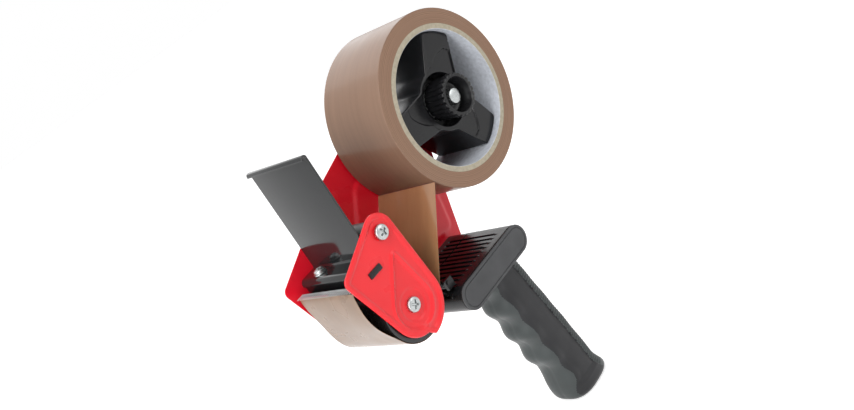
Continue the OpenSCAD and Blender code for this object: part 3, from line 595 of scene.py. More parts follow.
PLATE_SHOULDER = (-0.0645, -0.0046, 0.0067)
PLATE_CROWN = (-0.0060, 0.0120, 0.0067)
PLATE_BACK = (0.0055, 0.0050, 0.0070)
PLATE_HEEL = (-0.0155, -0.0840, 0.0079)
PLATE_REAR = (0.0039, -0.0280, 0.0070)
PANEL = ((-0.0060, -0.0280, 0.0070), (-0.0484, -0.0192, 0.0067), (-0.0621, -0.0366, 0.0067),
         (-0.0573, -0.0673, 0.0067), (-0.0136, -0.0690, 0.0050))
NOSE_DOWN = 0.0006
GUARD_START = -92
BELT_INSET = 0.002
LUG_SLOT = (0.0093 / 2, 0.0034 / 2)
RIM_RINGS, RIM_WIDE = 14, 0.0042
DISH_THIN = 1.6
DISH_TIP, DISH_TIP_R = ROLLER + 0.0266 * unit(np.radians(75)), 0.0015
DISH_SLOPES = (0.0016, 0.0018)
BORDER_SLOPE = 0.0016
BEAD_WIDE = 0.0011


def plate_outlines(sizes, whole):
    """Outlines whose union is a side plate: the front triangle, the roller guard and the main plate."""
    low, high = corners("cheek_plate")
    upper_r = high[2] - UPPER[1]
    round_r = ROLLER_R - sizes.roller_proud
    nose = (low[0] + sizes.nose_radius, FOOT_TOP - NOSE_DOWN, sizes.nose_radius)
    front = belt([(*UPPER, upper_r), nose, (*ROLLER, round_r)])
    guard_r = ROLLER_R + sizes.guard_past
    turn = tangent_angles([(*ROLLER, guard_r), (*UPPER, upper_r)])[0]
    round_roller = arc(ROLLER, guard_r, GUARD_START, turn, 60)
    guard = np.concatenate([[ROLLER], round_roller, arc(UPPER, upper_r, turn, turn, 1), [UPPER]])
    if not whole:
        return [front, guard]
    main = [PLATE_BACK, PLATE_CROWN, PLATE_SHOULDER]
    main += [(*UPPER, upper_r - BELT_INSET), (*ROLLER, round_r - BELT_INSET)]
    main += [(BODY_FRONT, BODY_Z, BODY_R), (BODY_REAR, BODY_Z, BODY_R), PLATE_HEEL, PLATE_REAR]
    return [front, guard, belt(main)]


def plate_grid(outlines, sheet, rays, rings, ease):
    """Points from the lug slot's edge out to the plate's edge along rays, closer together near the edge.

    A running mean over a few rays rounds the edge's corners.
    """
    slot = np.array([LUG_X, FOOT_TOP - sheet - LUG_DOWN])
    angles = full_turn(rays)
    inner = reach(slot, angles, soften(slot + SQUARE * LUG_SLOT, 0.0004))
    outer = running_mean(np.max([reach(slot, angles, o) for o in outlines], axis=0), ease)
    t = np.linspace(0, 1, rings) ** 0.9
    near_edge = np.linspace(0, 1, RIM_RINGS) ** 1.6 * RIM_WIDE
    rim = np.minimum(near_edge[::-1][:, None], 0.5 * (outer - inner)[None])
    field = inner[None] + (outer - rim[0] - inner)[None] * t[:-1, None]
    r = np.concatenate([field, outer[None] - rim])
    return slot + r[..., None] * unit(angles)[None]


def pressed_plate(sizes, side, whole, rays, rings):
    """A side plate: y falls to a rounded edge, steps down inside a border and dips in a drop-shaped dish.

    A bead runs round the dish, and the whole plate steps inwards over its panel.
    """
    points = plate_grid(plate_outlines(sizes, whole), sizes.sheet, rays, rings, 0 if whole else 2)
    edge = edge_distance(points, points[-1])
    drop = drop_distance(points, ROLLER, sizes.dish_radius, DISH_TIP, DISH_TIP_R)
    ring = np.hypot(*(points - ROLLER).T).T - sizes.dish_inner
    dish = 0.55 * smooth(-drop / DISH_SLOPES[0]) + 0.45 * smooth(-ring / DISH_SLOPES[1])
    sunk = sizes.dish_depth * dish
    e = sizes.edge_round
    inside = np.clip(e - edge, 0, e)
    fall = e - np.sqrt(np.maximum(e * e - inside**2, 0))
    step = sizes.border_step * smooth((edge - sizes.border) / BORDER_SLOPE + 0.5)
    bead = sizes.bead * np.exp(-((drop / BEAD_WIDE) ** 2))
    on_panel = smooth(depth_inside(points, belt(PANEL)) / sizes.panel_bevel + 0.5)
    panel = sizes.panel_depth * on_panel * whole
    front = raised(points, side * (PLATE_OUT - fall - step - DISH_THIN * sunk + bead - panel / 2))
    back = raised(points, side * (PLATE_IN - sunk - panel))
    return Patch(np.concatenate([front, back[::-1]]), ring=True)


class BuildPlates(bpy.types.Operator):
    """Make the two pressed and enamelled side plates"""

    bl_idname = "dispenser.plates"
    bl_label = "Side plates"

    def execute(self, context):
        sizes = context.scene.dispenser_sizes
        cheek = pressed_plate(sizes, -1, False, 540, 66)
        add_piece("cheek_plate_skin", [cheek], ["cheek"], "frame", "cheek_red", ["cheek_plate"])
        plate = pressed_plate(sizes, 1, True, 480, 84)
        add_piece("main_plate_skin", [plate], ["plate"], "frame", "side_plate_red", ["main_side_plate"])
        return {"FINISHED"}


# Tape, core and hub


class BuildRoll(bpy.types.Operator):
    """Make the wound tape and its core"""

    bl_idname = "dispenser.roll"
    bl_label = "Tape roll"

    def execute(self, context):
        w, soft, rim = TAPE_HALF, 0.0003, 0.0002
        inner = CORE_R + 0.00005

        def turned(profile, index):
            return Patch(turned_rows(profile, HUB, 192), caps=False, material=index)

        side = [(ROLL_R - soft, -w), (ROLL_R, -w + soft), (ROLL_R, w - soft), (ROLL_R - soft, w)]
        faces = [np.linspace((inner, y), (ROLL_R - soft, y), 10) for y in (-w, w)]
        patches = [turned(side, 0)] + [turned(p, 1) for p in (*faces, [(inner, -w), (inner, w)])]
        add_piece("tape_roll_wound", patches, ["side", "end"], "roll", "tape_wound", ["tape_roll"])
        bore = [(BORE_R + rim, -w), (BORE_R, -w + rim), (BORE_R, w - rim), (BORE_R + rim, w)]
        ends = [[(BORE_R + rim, y), (CORE_R, y)] for y in (-w, w)]
        patches = [turned(bore, 1)] + [turned(p, 0) for p in (*ends, [(CORE_R, -w), (CORE_R, w)])]
        add_piece("roll_core_card", patches, ["card", "bore"], "roll", "core_card", ["roll_core"])
        return {"FINISHED"}


FILM_GAP = 0.0005
PEEL_TURN, LEAVE_TURN = 212, 207
BOW_LEAD = 0.53
TIP_IN, TIP_DOWN = 0.0004, 0.0020
STUCK_RUN = (0.0008, 0.0012)


def tape_path(count):
    """Middle of the threaded tape: straight from the roll to the roller, round it, and bowed to the blade."""
    film_r = ROLLER_R + FILM_GAP
    peel = (ROLL_R + FILM_GAP) * unit(np.radians(PEEL_TURN))
    to_roller = ROLLER - peel
    run = np.degrees(np.arctan2(to_roller[1], to_roller[0]) + np.arcsin(film_r / np.hypot(*to_roller)))
    wrap = arc(ROLLER, film_r, run + 90, LEAVE_TURN - 360 if run < 0 else LEAVE_TURN, count)
    leave = wrap[-1]
    tip_low, tip_high = corners("cutting_blade")
    end = np.array([tip_low[0] + TIP_IN, tip_high[2] - TIP_DOWN])
    lead = leave + BOW_LEAD * np.hypot(*(end - leave)) * unit(np.radians(LEAVE_TURN - 90))
    t = np.linspace(0, 1, count)[:, None]
    rise = (1 - t) ** 2 * leave + 2 * t * (1 - t) * lead + t**2 * end
    stuck = np.linspace(end, end + STUCK_RUN, 6)
    loose = np.concatenate([rise[1:], stuck[1:]])
    return np.concatenate([np.linspace(peel, wrap[0], 12)[:-1], wrap, loose]), len(loose)


class BuildTape(bpy.types.Operator):
    """Make the layer of tape that is threaded round the roller to the blade"""

    bl_idname = "dispenser.tape"
    bl_label = "Threaded tape"

    def execute(self, context):
        sizes = context.scene.dispenser_sizes
        path, bow_count = tape_path(28)
        step = np.arange(len(path)) - len(path)
        bowed = smooth((step + 1 + bow_count) / (0.46 * bow_count)) * (1 - 0.5 * smooth((step + 16) / 12))
        y = np.linspace(-TAPE_HALF, TAPE_HALF, 25)
        mid = path[:, None] + np.zeros((1, len(y), 2))
        mid[..., 0] += sizes.film_skew * bowed[:, None] * y[None] / TAPE_HALF
        n = left_of(np.gradient(mid, axis=0))
        under, over = [raised(mid + s * n * sizes.film / 2, y[None]) for s in (-1, 1)]
        patches = [open_patch(under, 0), open_patch(over, 1)]
        patches += [open_patch(np.stack([under[:, i], over[:, i]], axis=1)) for i in (0, -1)]
        patches += [open_patch([under[i], over[i]]) for i in (0, -1)]
        add_piece("tape_film", patches, ["film", "glue"], "frame", "tape_film", ["tape_web"])
        return {"FINISHED"}


ARM_TURN, ARMS = 58, 3
ARM_REACH, BARREL_R = 0.03795, 0.018
ARM_HALF, ROOT_HALF = 0.0095, 0.0118
HUB_ROUND = 0.0009
RECESS_R, RECESS_LIP, SPRING_GAP = 0.0150, 0.0006, 0.0003
STEP_R, STEP_GROWTH, STEP_TURN, STEP_FADE = 0.019, 0.010, 20, 30
STEP_DEEP, STEP_SLOPE = 0.0009, 0.0006


def arm_loop(count):
    """Outline of the hub: along each ray the farther of barrel and arms, corners rounded by a running mean."""
    angles = full_turn(count)
    half = np.array([[0, -BARREL_R], [0.75 * BARREL_R, -ROOT_HALF], [0.05, -0.88 * ARM_HALF]])
    arm = np.concatenate([half, half[::-1] * [1, -1]])
    r = np.full(count, BARREL_R)
    for k in range(ARMS):
        u = unit(np.radians(ARM_TURN + k * 360 / ARMS))
        turned = arm[:, :1] * u + arm[:, 1:] * left_of(u)
        r = np.maximum(r, np.minimum(reach(np.zeros(2), angles, turned), ARM_REACH))
    loop = r[:, None] * unit(angles)
    closed = np.concatenate([loop, loop[:1]])
    along = np.concatenate([[0], np.cumsum(np.hypot(*np.diff(closed, axis=0).T))])
    even = np.linspace(0, along[-1], count, endpoint=False)
    return running_mean(np.stack([np.interp(even, along, closed[:, k]) for k in (0, 1)], axis=1), 5)


class BuildHub(bpy.types.Operator):
    """Make the three-armed hub with its recess for the knob"""

    bl_idname = "dispenser.hub"
    bl_label = "Hub"

    def execute(self, context):
        low, high = corners("hub")
        front, back = low[1], high[1]
        floor = corners("tension_spring")[1][1] + SPRING_GAP
        rim = RECESS_R + RECESS_LIP
        loop = arm_loop(720)
        ray = loop / np.hypot(*loop.T)[:, None]
        skin = rounded_rows(loop, front, back, HUB_ROUND, 5)
        t = np.linspace(0, 1, 56)[1:-1, None, None]
        face = ray[None] * rim * (1 - t) + skin[0][:, [0, 2]][None] * t
        r = np.hypot(face[..., 0], face[..., 1])
        sector = 360 / ARMS
        turn = np.degrees(np.arctan2(face[..., 1], face[..., 0]))
        off_arm = (turn - ARM_TURN + sector / 2) % sector - sector / 2
        step_r = STEP_R + STEP_GROWTH * np.clip((STEP_TURN - off_arm) / STEP_FADE, 0, 1)
        sunk = STEP_DEEP * smooth((step_r - r) / STEP_SLOPE)
        cup = ((BOLT_HOLE, floor), (RECESS_R - 0.001, floor), (RECESS_R, floor - 0.001),
               (RECESS_R, front + 0.0015), (RECESS_R + 0.0002, front + 0.0011), (rim, front + STEP_DEEP))
        rows = [raised(ray * r0, y0) for r0, y0 in cup]
        rows += [*raised(face, front + sunk), *skin]
        rows += [raised(ray * r0, back) for r0 in (0.014, BOLT_HOLE)]
        hub = Patch(np.stack(rows), ring=True)
        add_piece("hub_arms", [hub], ["black"], "roll", "black_gloss", ["hub"])
        return {"FINISHED"}


LOBE_DEEP, LOBE_SHARP = 0.0011, 0.6
CUP_DEEP, NUT_GAP = 0.009, 0.0006
WIRE_R, COILS, COIL_STEPS = 0.0006, 3, 144
WASHER_HOLE, NUT_CHAMFER = 0.005, 0.0008


class BuildKnob(bpy.types.Operator):
    """Make the scalloped tension knob, the bolt in it, the hub's nut, the washer and the tension spring"""

    bl_idname = "dispenser.knob"
    bl_label = "Tension knob"

    def execute(self, context):
        sizes = context.scene.dispenser_sizes
        low, high = corners("tension_knob")
        big, front, back = high[0], low[1], high[1]
        lobe = LOBE_DEEP * (1 - np.abs(np.cos(full_turn(480) * sizes.lobes / 2)) ** LOBE_SHARP)
        sole = min(front + CUP_DEEP, corners("knob_nut")[0][1] - NUT_GAP)
        # Radius, height and share of the lobes' depth, from the back's rim over the front into the cup
        profile = np.array([
            (big - 0.0012, back, 0.2), (big - 0.0005, back - 0.0006, 0.8), (big - 0.0005, front + 0.0052, 1),
            (big, front + 0.0044, 1), (big, front + 0.0008, 1), (big - 0.0003, front + 0.0002, 0.7),
            (big - 0.0010, front, 0.25), (big - 0.0023, front, 0), (big - 0.0026, front + 0.0004, 0),
            (big - 0.0032, sole - 0.0006, 0), (big - 0.0038, sole, 0), (0.0062, sole, 0),
            (BOLT_HOLE, sole + 0.0004, 0), (BOLT_HOLE, back, 0),
        ])
        knob = Patch(spun_rows(profile[:, :1] - profile[:, 2:] * lobe, profile[:, 1], HUB), ring=True)
        add_piece("knob_scalloped", [knob], ["black"], "knob", "black_gloss", ["tension_knob"], 50)
        low, high = corners("hub_bolt")
        bolt_r, tip, end = high[0], low[1], high[1]
        shank = [(0, tip), (0.55 * bolt_r, tip + 0.0001), (0.86 * bolt_r, tip + 0.0005),
                 (bolt_r, tip + 0.0014), (bolt_r, end - 0.0008), (bolt_r - 0.0008, end), (0, end)]
        add_zinc("hub_bolt_turned", [Patch(turned_rows(shank, HUB, 64), caps=False)], "hub_bolt")
        low, high = corners("tension_spring")
        t = np.linspace(0, COILS * 2 * np.pi, COIL_STEPS)[:, None]
        y = np.linspace(low[1] + WIRE_R, high[1] - WIRE_R, COIL_STEPS)[:, None]
        b = full_turn(16)
        out = high[0] - WIRE_R + WIRE_R * np.cos(b)
        rows = np.stack([out * np.cos(t), y + WIRE_R * np.sin(b), out * np.sin(t)], axis=-1)
        add_zinc("spring_coil", [Patch(rows)], "tension_spring")
        low, high = corners("tension_washer")
        washer = turned_ring((WASHER_HOLE, high[0]), (low[1], high[1]), 0.0002, 4, HUB)
        add_zinc("washer_pressed", [washer], "tension_washer")
        low, high = corners("hub_nut")
        flat = high[2]
        hexagon = flat / np.cos(full_turn(96) % (np.pi / 3) - np.pi / 6)
        rim, hole = np.full(96, flat), np.full(96, bolt_r)
        radii = np.stack([rim, hexagon, hexagon, rim, hole, hole])
        heights = [low[1], low[1] + NUT_CHAMFER, high[1] - NUT_CHAMFER, high[1], high[1], low[1]]
        add_zinc("hub_nut_hexagon", [Patch(spun_rows(radii, heights, HUB), ring=True)], "hub_nut", 20)
        return {"FINISHED"}


# Roller, blade and wiper


ROLLER_WALL, BUSH_LONG, AXLE_HOLE = 0.0035, 0.008, 0.0041


class BuildRoller(bpy.types.Operator):
    """Make the rubbery roller with its recessed ends"""

    bl_idname = "dispenser.roller"
    bl_label = "Roller"

    def execute(self, context):
        inner = ROLLER_R - ROLLER_WALL
        sleeve = turned_ring((inner, ROLLER_R), (-ROLLER_END, ROLLER_END), 0.0006, 5, ROLLER, 144)
        add_piece("roller_skin", [sleeve], ["rubber"], "roller", "roller_rubber", ["roller_sleeve"])
        y0, y1 = (corner[1] for corner in corners("roller_bushes"))
        bushes = [turned_ring((AXLE_HOLE, inner), ends, 0.0004, 4, ROLLER)
                  for ends in ((y0, y0 + BUSH_LONG), (y1 - BUSH_LONG, y1))]
        add_piece("roller_hubs", bushes, ["black"], "roller", "black_gloss", ["roller_bushes"])
        return {"FINISHED"}


LIP_R, BEND_R, CURL_R = 0.0018, 0.0013, 0.0006
BEND_AHEAD = 0.0003
FLAP_LEAN, FLAP_DROP = 0.0022, 0.0012


def wiper_path(sheet):
    """Middle of the wiper's sheet: rolled front lip, flat foot, bend, flap leaning back, top lip."""
    lip, bend, curl = np.array([LIP_R, BEND_R, CURL_R]) + sheet / 2
    mid = FOOT_TOP - sheet / 2
    lip_centre = np.array([corners("wiper_foot")[0][0] + lip + sheet / 2, mid - lip])
    bend_centre = np.array([HINGE[0] + BEND_AHEAD, mid + bend])
    flap_x = bend_centre[0] + bend
    top_x = flap_x + FLAP_LEAN
    top_centre = np.array([top_x - curl, corners("wiper_flap")[1][2] - FLAP_DROP - sheet / 2 - curl])
    flat = np.linspace((lip_centre[0], mid), (bend_centre[0], mid), 14)[1:-1]
    upright = np.linspace((flap_x, bend_centre[1]), (top_x, top_centre[1]), 40)[1:-1]
    bent = arc(bend_centre, bend, -90, 0, 14)
    return np.concatenate([arc(lip_centre, lip, 190, 90, 14), flat, bent, upright,
                           arc(top_centre, curl, 0, 200, 22)])


class BuildWiper(bpy.types.Operator):
    """Make the wiper as one bent sheet"""

    bl_idname = "dispenser.wiper"
    bl_label = "Wiper"

    def execute(self, context):
        sizes = context.scene.dispenser_sizes
        half = corners("wiper_foot")[1][1]
        rows = rounded_rows(strip(wiper_path(sizes.sheet), sizes.sheet), -half, half, 0.0004, 4)
        n = rows.shape[1] // 2
        ends = [open_patch([row[:n], row[n:][::-1]]) for row in (rows[0], rows[-1])]
        piece = add_piece("wiper_sheet", [Patch(rows, caps=False)] + ends, ["wiper"], None, "wiper_grey",
                          ["wiper_foot", "wiper_flap"])
        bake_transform(piece)
        return {"FINISHED"}


BLADE_SLANT, BLADE_THICK = np.radians(20), 0.0006
TOOTH_STEPS = 16
SLIT_FROM, SLIT_SLOPE = 0.36, 0.14
TOOTH_THIN, THIN_RUN = 0.16, 0.0020
LEVEL_RUN = 0.0050
# Distance behind the teeth from which the blade takes the black finish as painted shade.
SHADE_BEHIND = 0.0004
BAR_BEVEL, BAR_ROUND = 0.0025, 0.0012
LUG_HALF, LUG_SUNK = (0.0046, 0.00165), 0.001


class BuildBlade(bpy.types.Operator):
    """Make the toothed blade and the bar that holds it"""

    bl_idname = "dispenser.blade"
    bl_label = "Blade"

    def execute(self, context):
        sizes = context.scene.dispenser_sizes
        low, high = corners("cutting_blade")
        sin, cos = np.sin(BLADE_SLANT), np.cos(BLADE_SLANT)
        depth = (high[0] - low[0] - BLADE_THICK * sin) / cos
        along, up = np.array([cos, -sin]), np.array([sin, cos])
        tip = np.array([low[0], high[2] - BLADE_THICK * cos / 2])
        y = np.linspace(low[1], high[1], sizes.teeth * TOOTH_STEPS + 1)
        wave = np.abs((y - low[1]) / (high[1] - low[1]) * sizes.teeth % 1 - 0.5) * 2
        v = np.concatenate([np.linspace(0, 1, 8) ** 1.2 * 0.4, np.linspace(0.4, 1, 4)[1:]])
        start = sizes.tooth * smooth((wave - SLIT_FROM) / SLIT_SLOPE)
        d = start[None] + (depth - start)[None] * v[:, None]
        behind = d - sizes.tooth
        level = sin * np.minimum(d, sizes.tooth) * (1 - smooth(behind / LEVEL_RUN))
        half = BLADE_THICK / 2 * (TOOTH_THIN + (1 - TOOTH_THIN) * smooth(behind / THIN_RUN))
        mid = tip + d[..., None] * along + level[..., None] * [0, 1]
        over, under = [raised(mid + s * half[..., None] * up, y[None]) for s in (1, -1)]
        skin = Patch(np.concatenate([over[::-1], under]), ring=True, caps=False, closed=False)
        # Steel lying farther than a set distance behind the teeth gets the black finish: painted shade, so the
        # slits show dark instead of the blade's lit underside.
        back = np.concatenate([behind[::-1], behind])[:, :-1]
        painted_shade_behind_teeth = (back + np.roll(back, -1, axis=0)) / 2 > SHADE_BEHIND
        skin.material = painted_shade_behind_teeth.astype(int).ravel().tolist()
        ends = [open_patch([over[:, i], under[:, i]]) for i in (0, -1)]
        add_piece("blade_toothed", [skin] + ends, ["blade", "black"], "frame", "blade_steel",
                  ["cutting_blade"], 25)
        front, back, top = HOLDER_LOW[0], HOLDER_HIGH[0], HOLDER_HIGH[2]
        foot = top - HOLDER_TALL
        outline = soften([(front, foot), (back, foot - np.tan(BLADE_SLANT) * (back - front)),
                          (back, top - BAR_BEVEL), (HINGE[0] - 0.001, top), (front, top)], BAR_ROUND, 6)
        bar = Patch(rounded_rows(outline, -PLATE_IN, PLATE_IN, 0.0003, 3))
        lug = soften(SQUARE * LUG_HALF + [LUG_X, top - LUG_DOWN], 0.0004, 4)
        sunk = PLATE_IN - LUG_SUNK
        lugs = [Patch(rounded_rows(lug, *ends, 0.0002, 3)) for ends in ((-PLATE_OUT, -sunk), (sunk, PLATE_OUT))]
        add_piece("blade_bar", [bar] + lugs, ["black"], "frame", "black_gloss", ["blade_holder"])
        return {"FINISHED"}


# Body, grip and screws


SLOTS, SLOT_HALF = 12, 0.0008
SLOTS_AHEAD = 0.0024
SLOT_EDGE = 0.0003
SLOT_START, SLOT_STOP = BODY_LOW[1] + 0.0060, PLATE_IN - 0.005
FRONT_SLOT_TURN = 2.5
PIP_HIGH, PIP_R, PIP_BEFORE = 0.0004, 0.0006, 0.0003
SEAM_DEEP, SEAM_HALF = 0.0004, 0.0007
CAP_PAST = 0.0008
CAP_ROWS = ((0.006, 0), (0.0021, 0), (0.0019, 0.0004), (0.0016, 0.0004), (0.0014, 0), (0.0004, 0),
            (0.0001, 0.0001), (0, 0.0004), (0, CAP_PAST), (0.003, CAP_PAST + 0.002))


def stadium(count):
    """Outline of the body, anticlockwise from the middle of its foot, at even steps along its length."""
    line, bow = BODY_REAR - BODY_FRONT, np.pi * BODY_R
    total = 2 * (line + bow)
    s = np.arange(count) / count * total
    bends = [line / 2, line / 2 + bow, 1.5 * line + bow, 1.5 * line + 2 * bow]
    x = np.interp(s, [0, *bends, total], [BODY_MID, BODY_REAR, BODY_REAR, BODY_FRONT, BODY_FRONT, BODY_MID])
    turn = np.interp(s, bends, np.pi * np.array([-0.5, 0.5, 0.5, 1.5]))
    return np.stack([x, np.full(count, BODY_Z)], axis=1) + BODY_R * unit(turn)


def slot_and_pip(across, half, start, y):
    """Depth, from 0 to 1, of a slot along Y, and the pip before its start, from the distance across it."""
    along = smooth((y[:, None] - start) / SLOT_EDGE) * smooth((SLOT_STOP - y) / SLOT_EDGE)[:, None]
    off = across[None] ** 2 + (y - SLOT_START + PIP_BEFORE)[:, None] ** 2
    return smooth((half - across) / SLOT_EDGE)[None] * along, PIP_HIGH * np.exp(-off / PIP_R**2)


class BuildBody(bpy.types.Operator):
    """Make the grooved body and its end cap"""

    bl_idname = "dispenser.body"
    bl_label = "Body"

    def execute(self, context):
        sizes = context.scene.dispenser_sizes
        cap = corners("body_end_cap")[0][1]
        y0, y1 = cap + CAP_PAST, PLATE_IN
        parting = BODY_HIGH[1]
        loop = stadium(760)
        y = np.unique(np.concatenate([
            np.linspace(y0, y1, 40), np.linspace(SLOT_START - 0.0010, SLOT_START + 0.0015, 30),
            parting + np.array([-0.0007, -0.0004, 0, 0.0004, 0.0007]),
            [y0 + 0.0002, SLOT_STOP - SLOT_EDGE, SLOT_STOP + SLOT_EDGE],
        ]))
        front = np.array([BODY_FRONT, BODY_Z]) + BODY_R * unit(FRONT_SLOT_TURN)
        sunk, pips = slot_and_pip(np.hypot(*(loop - front).T), SLOT_HALF, SLOT_START, y)
        top = loop[:, 1] > BODY_Z
        for k in range(SLOTS):
            centre = BODY_MID - SLOTS_AHEAD + (k - (SLOTS - 1) / 2) * sizes.slot_pitch
            across = np.abs(loop[:, 0] - centre)
            start = SLOT_START + SLOT_HALF - np.sqrt(np.maximum(SLOT_HALF**2 - across**2, 0))
            slot, pip = slot_and_pip(across, SLOT_HALF + 0.0001, start, y)
            sunk, pips = np.maximum(sunk, slot * top), np.maximum(pips, pip * top)
        seam = SEAM_DEEP * smooth(1 - np.abs(y - parting) / SEAM_HALF)[:, None]
        ends = 0.0003 * smooth(1 - (y - y0) / 0.0003)[:, None]
        inset = sizes.groove * sunk + seam + ends - pips
        rows = raised(loop[None] + inward(loop)[None] * inset[..., None], y[:, None])
        add_piece("body_grooved", [Patch(rows)], ["black"], "frame", "black_gloss",
                  ["body_shell_near", "body_shell_far"], 50)
        insets, heights = np.array(CAP_ROWS).T
        rows = inset_rows(stadium(240), insets, cap + heights)
        add_piece("cap_moulded", [Patch(rows)], ["cap"], "frame", "grey_matte", ["body_end_cap"])
        return {"FINISHED"}


GRIP_BEHIND = 0.0242
GRIP_DEEP, GRIP_LEAN = 0.029, 0.142
FOOT_EDGE, FOOT_FLARE, FLARE_RUN = 0.005, 0.004, 0.016
BACK_TAPER, TAPER_FROM = 0.02, 0.060
FIRST_VALLEY = 0.037
ROUNDNESS = 2 / 2.7
RIDGED, RIDGE_PITCH = 0.0094, 0.0021
PANEL_FROM, PANEL_SUNK = 0.0085, 0.0014
ZONE_SLOPE = 0.0009
LAST_BUMP = 1.7
BRINK, BRINK_WAVE, BRINK_SLOPE = 0.82, 0.09, 0.40
GRIP_SEAM, GRIP_SEAM_WIDE = 0.00025, 0.012
BAND_UNDER = 0.05


class BuildGrip(bpy.types.Operator):
    """Make the pistol grip with its finger bumps, side panels and ridged back"""

    bl_idname = "dispenser.grip"
    bl_label = "Grip"

    def execute(self, context):
        sizes = context.scene.dispenser_sizes
        low = corners("grip_near")[0]
        top = BODY_LOW[2]
        span, half = top - low[2], -low[1]
        pitch = sizes.finger_pitch
        s = np.concatenate([np.linspace(-BODY_R * 0.98, span - FOOT_EDGE, 500)[:-1],
                            span - FOOT_EDGE + FOOT_EDGE * np.sin(np.linspace(0, np.pi / 2, 14))])
        last = FIRST_VALLEY + 2 * pitch
        waves = sizes.bump * np.sin(np.pi * (s - FIRST_VALLEY) / pitch) ** 2
        bump = np.where(s < last, waves, LAST_BUMP * sizes.bump * smooth((s - last) / pitch))
        h = np.clip(FOOT_EDGE - (span - s), 0, FOOT_EDGE)
        inset = FOOT_EDGE - np.sqrt(np.maximum(FOOT_EDGE**2 - h**2, 0))
        lean_line = BODY_FRONT + GRIP_BEHIND + GRIP_LEAN * s
        front = lean_line - bump + inset
        back = lean_line + GRIP_DEEP - inset + FOOT_FLARE * smooth((s - span + FLARE_RUN) / FLARE_RUN)
        back -= BACK_TAPER * np.maximum(0, s - TAPER_FROM)
        t = full_turn(160)
        c, q = [np.sign(f) * np.abs(f) ** ROUNDNESS for f in (np.cos(t), np.sin(t))]
        x = ((front + back) / 2)[:, None] - ((back - front) / 2)[:, None] * c[None]
        y = (half - inset)[:, None] * q[None]
        gap = back[:, None] - x

        def between(head, head_run, tail, tail_run):
            """1 along the grip's length, falling to 0 near its head and its foot."""
            return (smooth((s - head) / head_run) * smooth((span - tail - s) / tail_run))[:, None]

        behind = smooth((RIDGED - gap) / ZONE_SLOPE) * between(0.006, 0.004, 0.006, 0.003)
        rib = sizes.ridge * behind * (np.cos(2 * np.pi * s / RIDGE_PITCH)[:, None] - 1) / 2
        brink = BRINK + BRINK_WAVE * np.cos(2 * np.pi * (s - FIRST_VALLEY) / pitch)
        side = smooth((gap - PANEL_FROM) / ZONE_SLOPE) * smooth((brink[:, None] - c[None]) / BRINK_SLOPE)
        y += np.sign(q)[None] * (rib - PANEL_SUNK * side * between(0.004, 0.003, 0.009, 0.004))
        seam = GRIP_SEAM * (np.abs(np.sin(t)) < GRIP_SEAM_WIDE)
        x += rib + (c * seam)[None]
        grip = Patch(np.stack([x, y, (top - s)[:, None] + 0 * t], axis=-1))
        # Where the side panel has faded out, the grip takes the lighter band finish: partly its own second
        # grey, partly painted sheen.
        band = side[:-1] < BAND_UNDER
        grip.material[: band.size] = band.astype(int).ravel().tolist()
        add_piece("grip_moulded", [grip], ["grip", "band"], "frame", "grip_grey",
                  ["grip_near", "grip_far"], 60)
        return {"FINISHED"}


BIG_SCREW = (0.0041, 0.0024, 0.0022, 0.010)
SMALL_SCREW = (0.0031, 0.0019, 0.0014, 0.008)
CROSS_HALF, CROSS_REACH, CROSS_SLOPE, CROSS_DEEP = 0.14, 0.58, 0.05, 0.42
FOOT_WASHER, FOOT_WASHER_THICK = (0.0016, 0.0037), 0.0008


def screw_rows(head, height, shank, depth, count=72, rings=26):
    """Pan head of radius R and height h, then its shank of a radius and depth.

    The dome's height is h(0.55 + 0.45 sqrt(1 - (r/R)^2.4)), with a cross sunk in it.
    """
    a = full_turn(count)
    t = np.linspace(0, 1, rings)[:, None]
    x, z = head * t * np.cos(a), head * t * np.sin(a)
    rise = height * (0.55 + 0.45 * np.sqrt(np.maximum(0, 1 - t**2.4)))
    arm = np.minimum(np.abs(x), np.abs(z)) - CROSS_HALF * head
    tip = np.maximum(np.abs(x), np.abs(z)) - CROSS_REACH * head
    cut = smooth(-arm / (CROSS_SLOPE * head)) * smooth(-tip / (CROSS_SLOPE * head))
    dome = np.stack([x, CROSS_DEEP * height * cut - rise, z], axis=-1)
    tail = [(head, -0.04 * height), (0.97 * head, 0), (shank, 0), (shank, depth), (0, depth)]
    return np.concatenate([dome, turned_rows(tail, (0, 0), count)])


def place_screw(rows, place, axis, spin):
    """A screw turned about its own axis and set at a place, its head towards -Y, +Y or +Z."""
    c, s = unit(np.radians(spin))
    x, y, z = rows[..., 0] * c - rows[..., 2] * s, rows[..., 1], rows[..., 0] * s + rows[..., 2] * c
    moved = {"-Y": (x, y, z), "+Y": (-x, -y, z), "+Z": (x, z, -y)}[axis]
    return Patch(np.stack(moved, axis=-1) + np.asarray(place), caps=False)


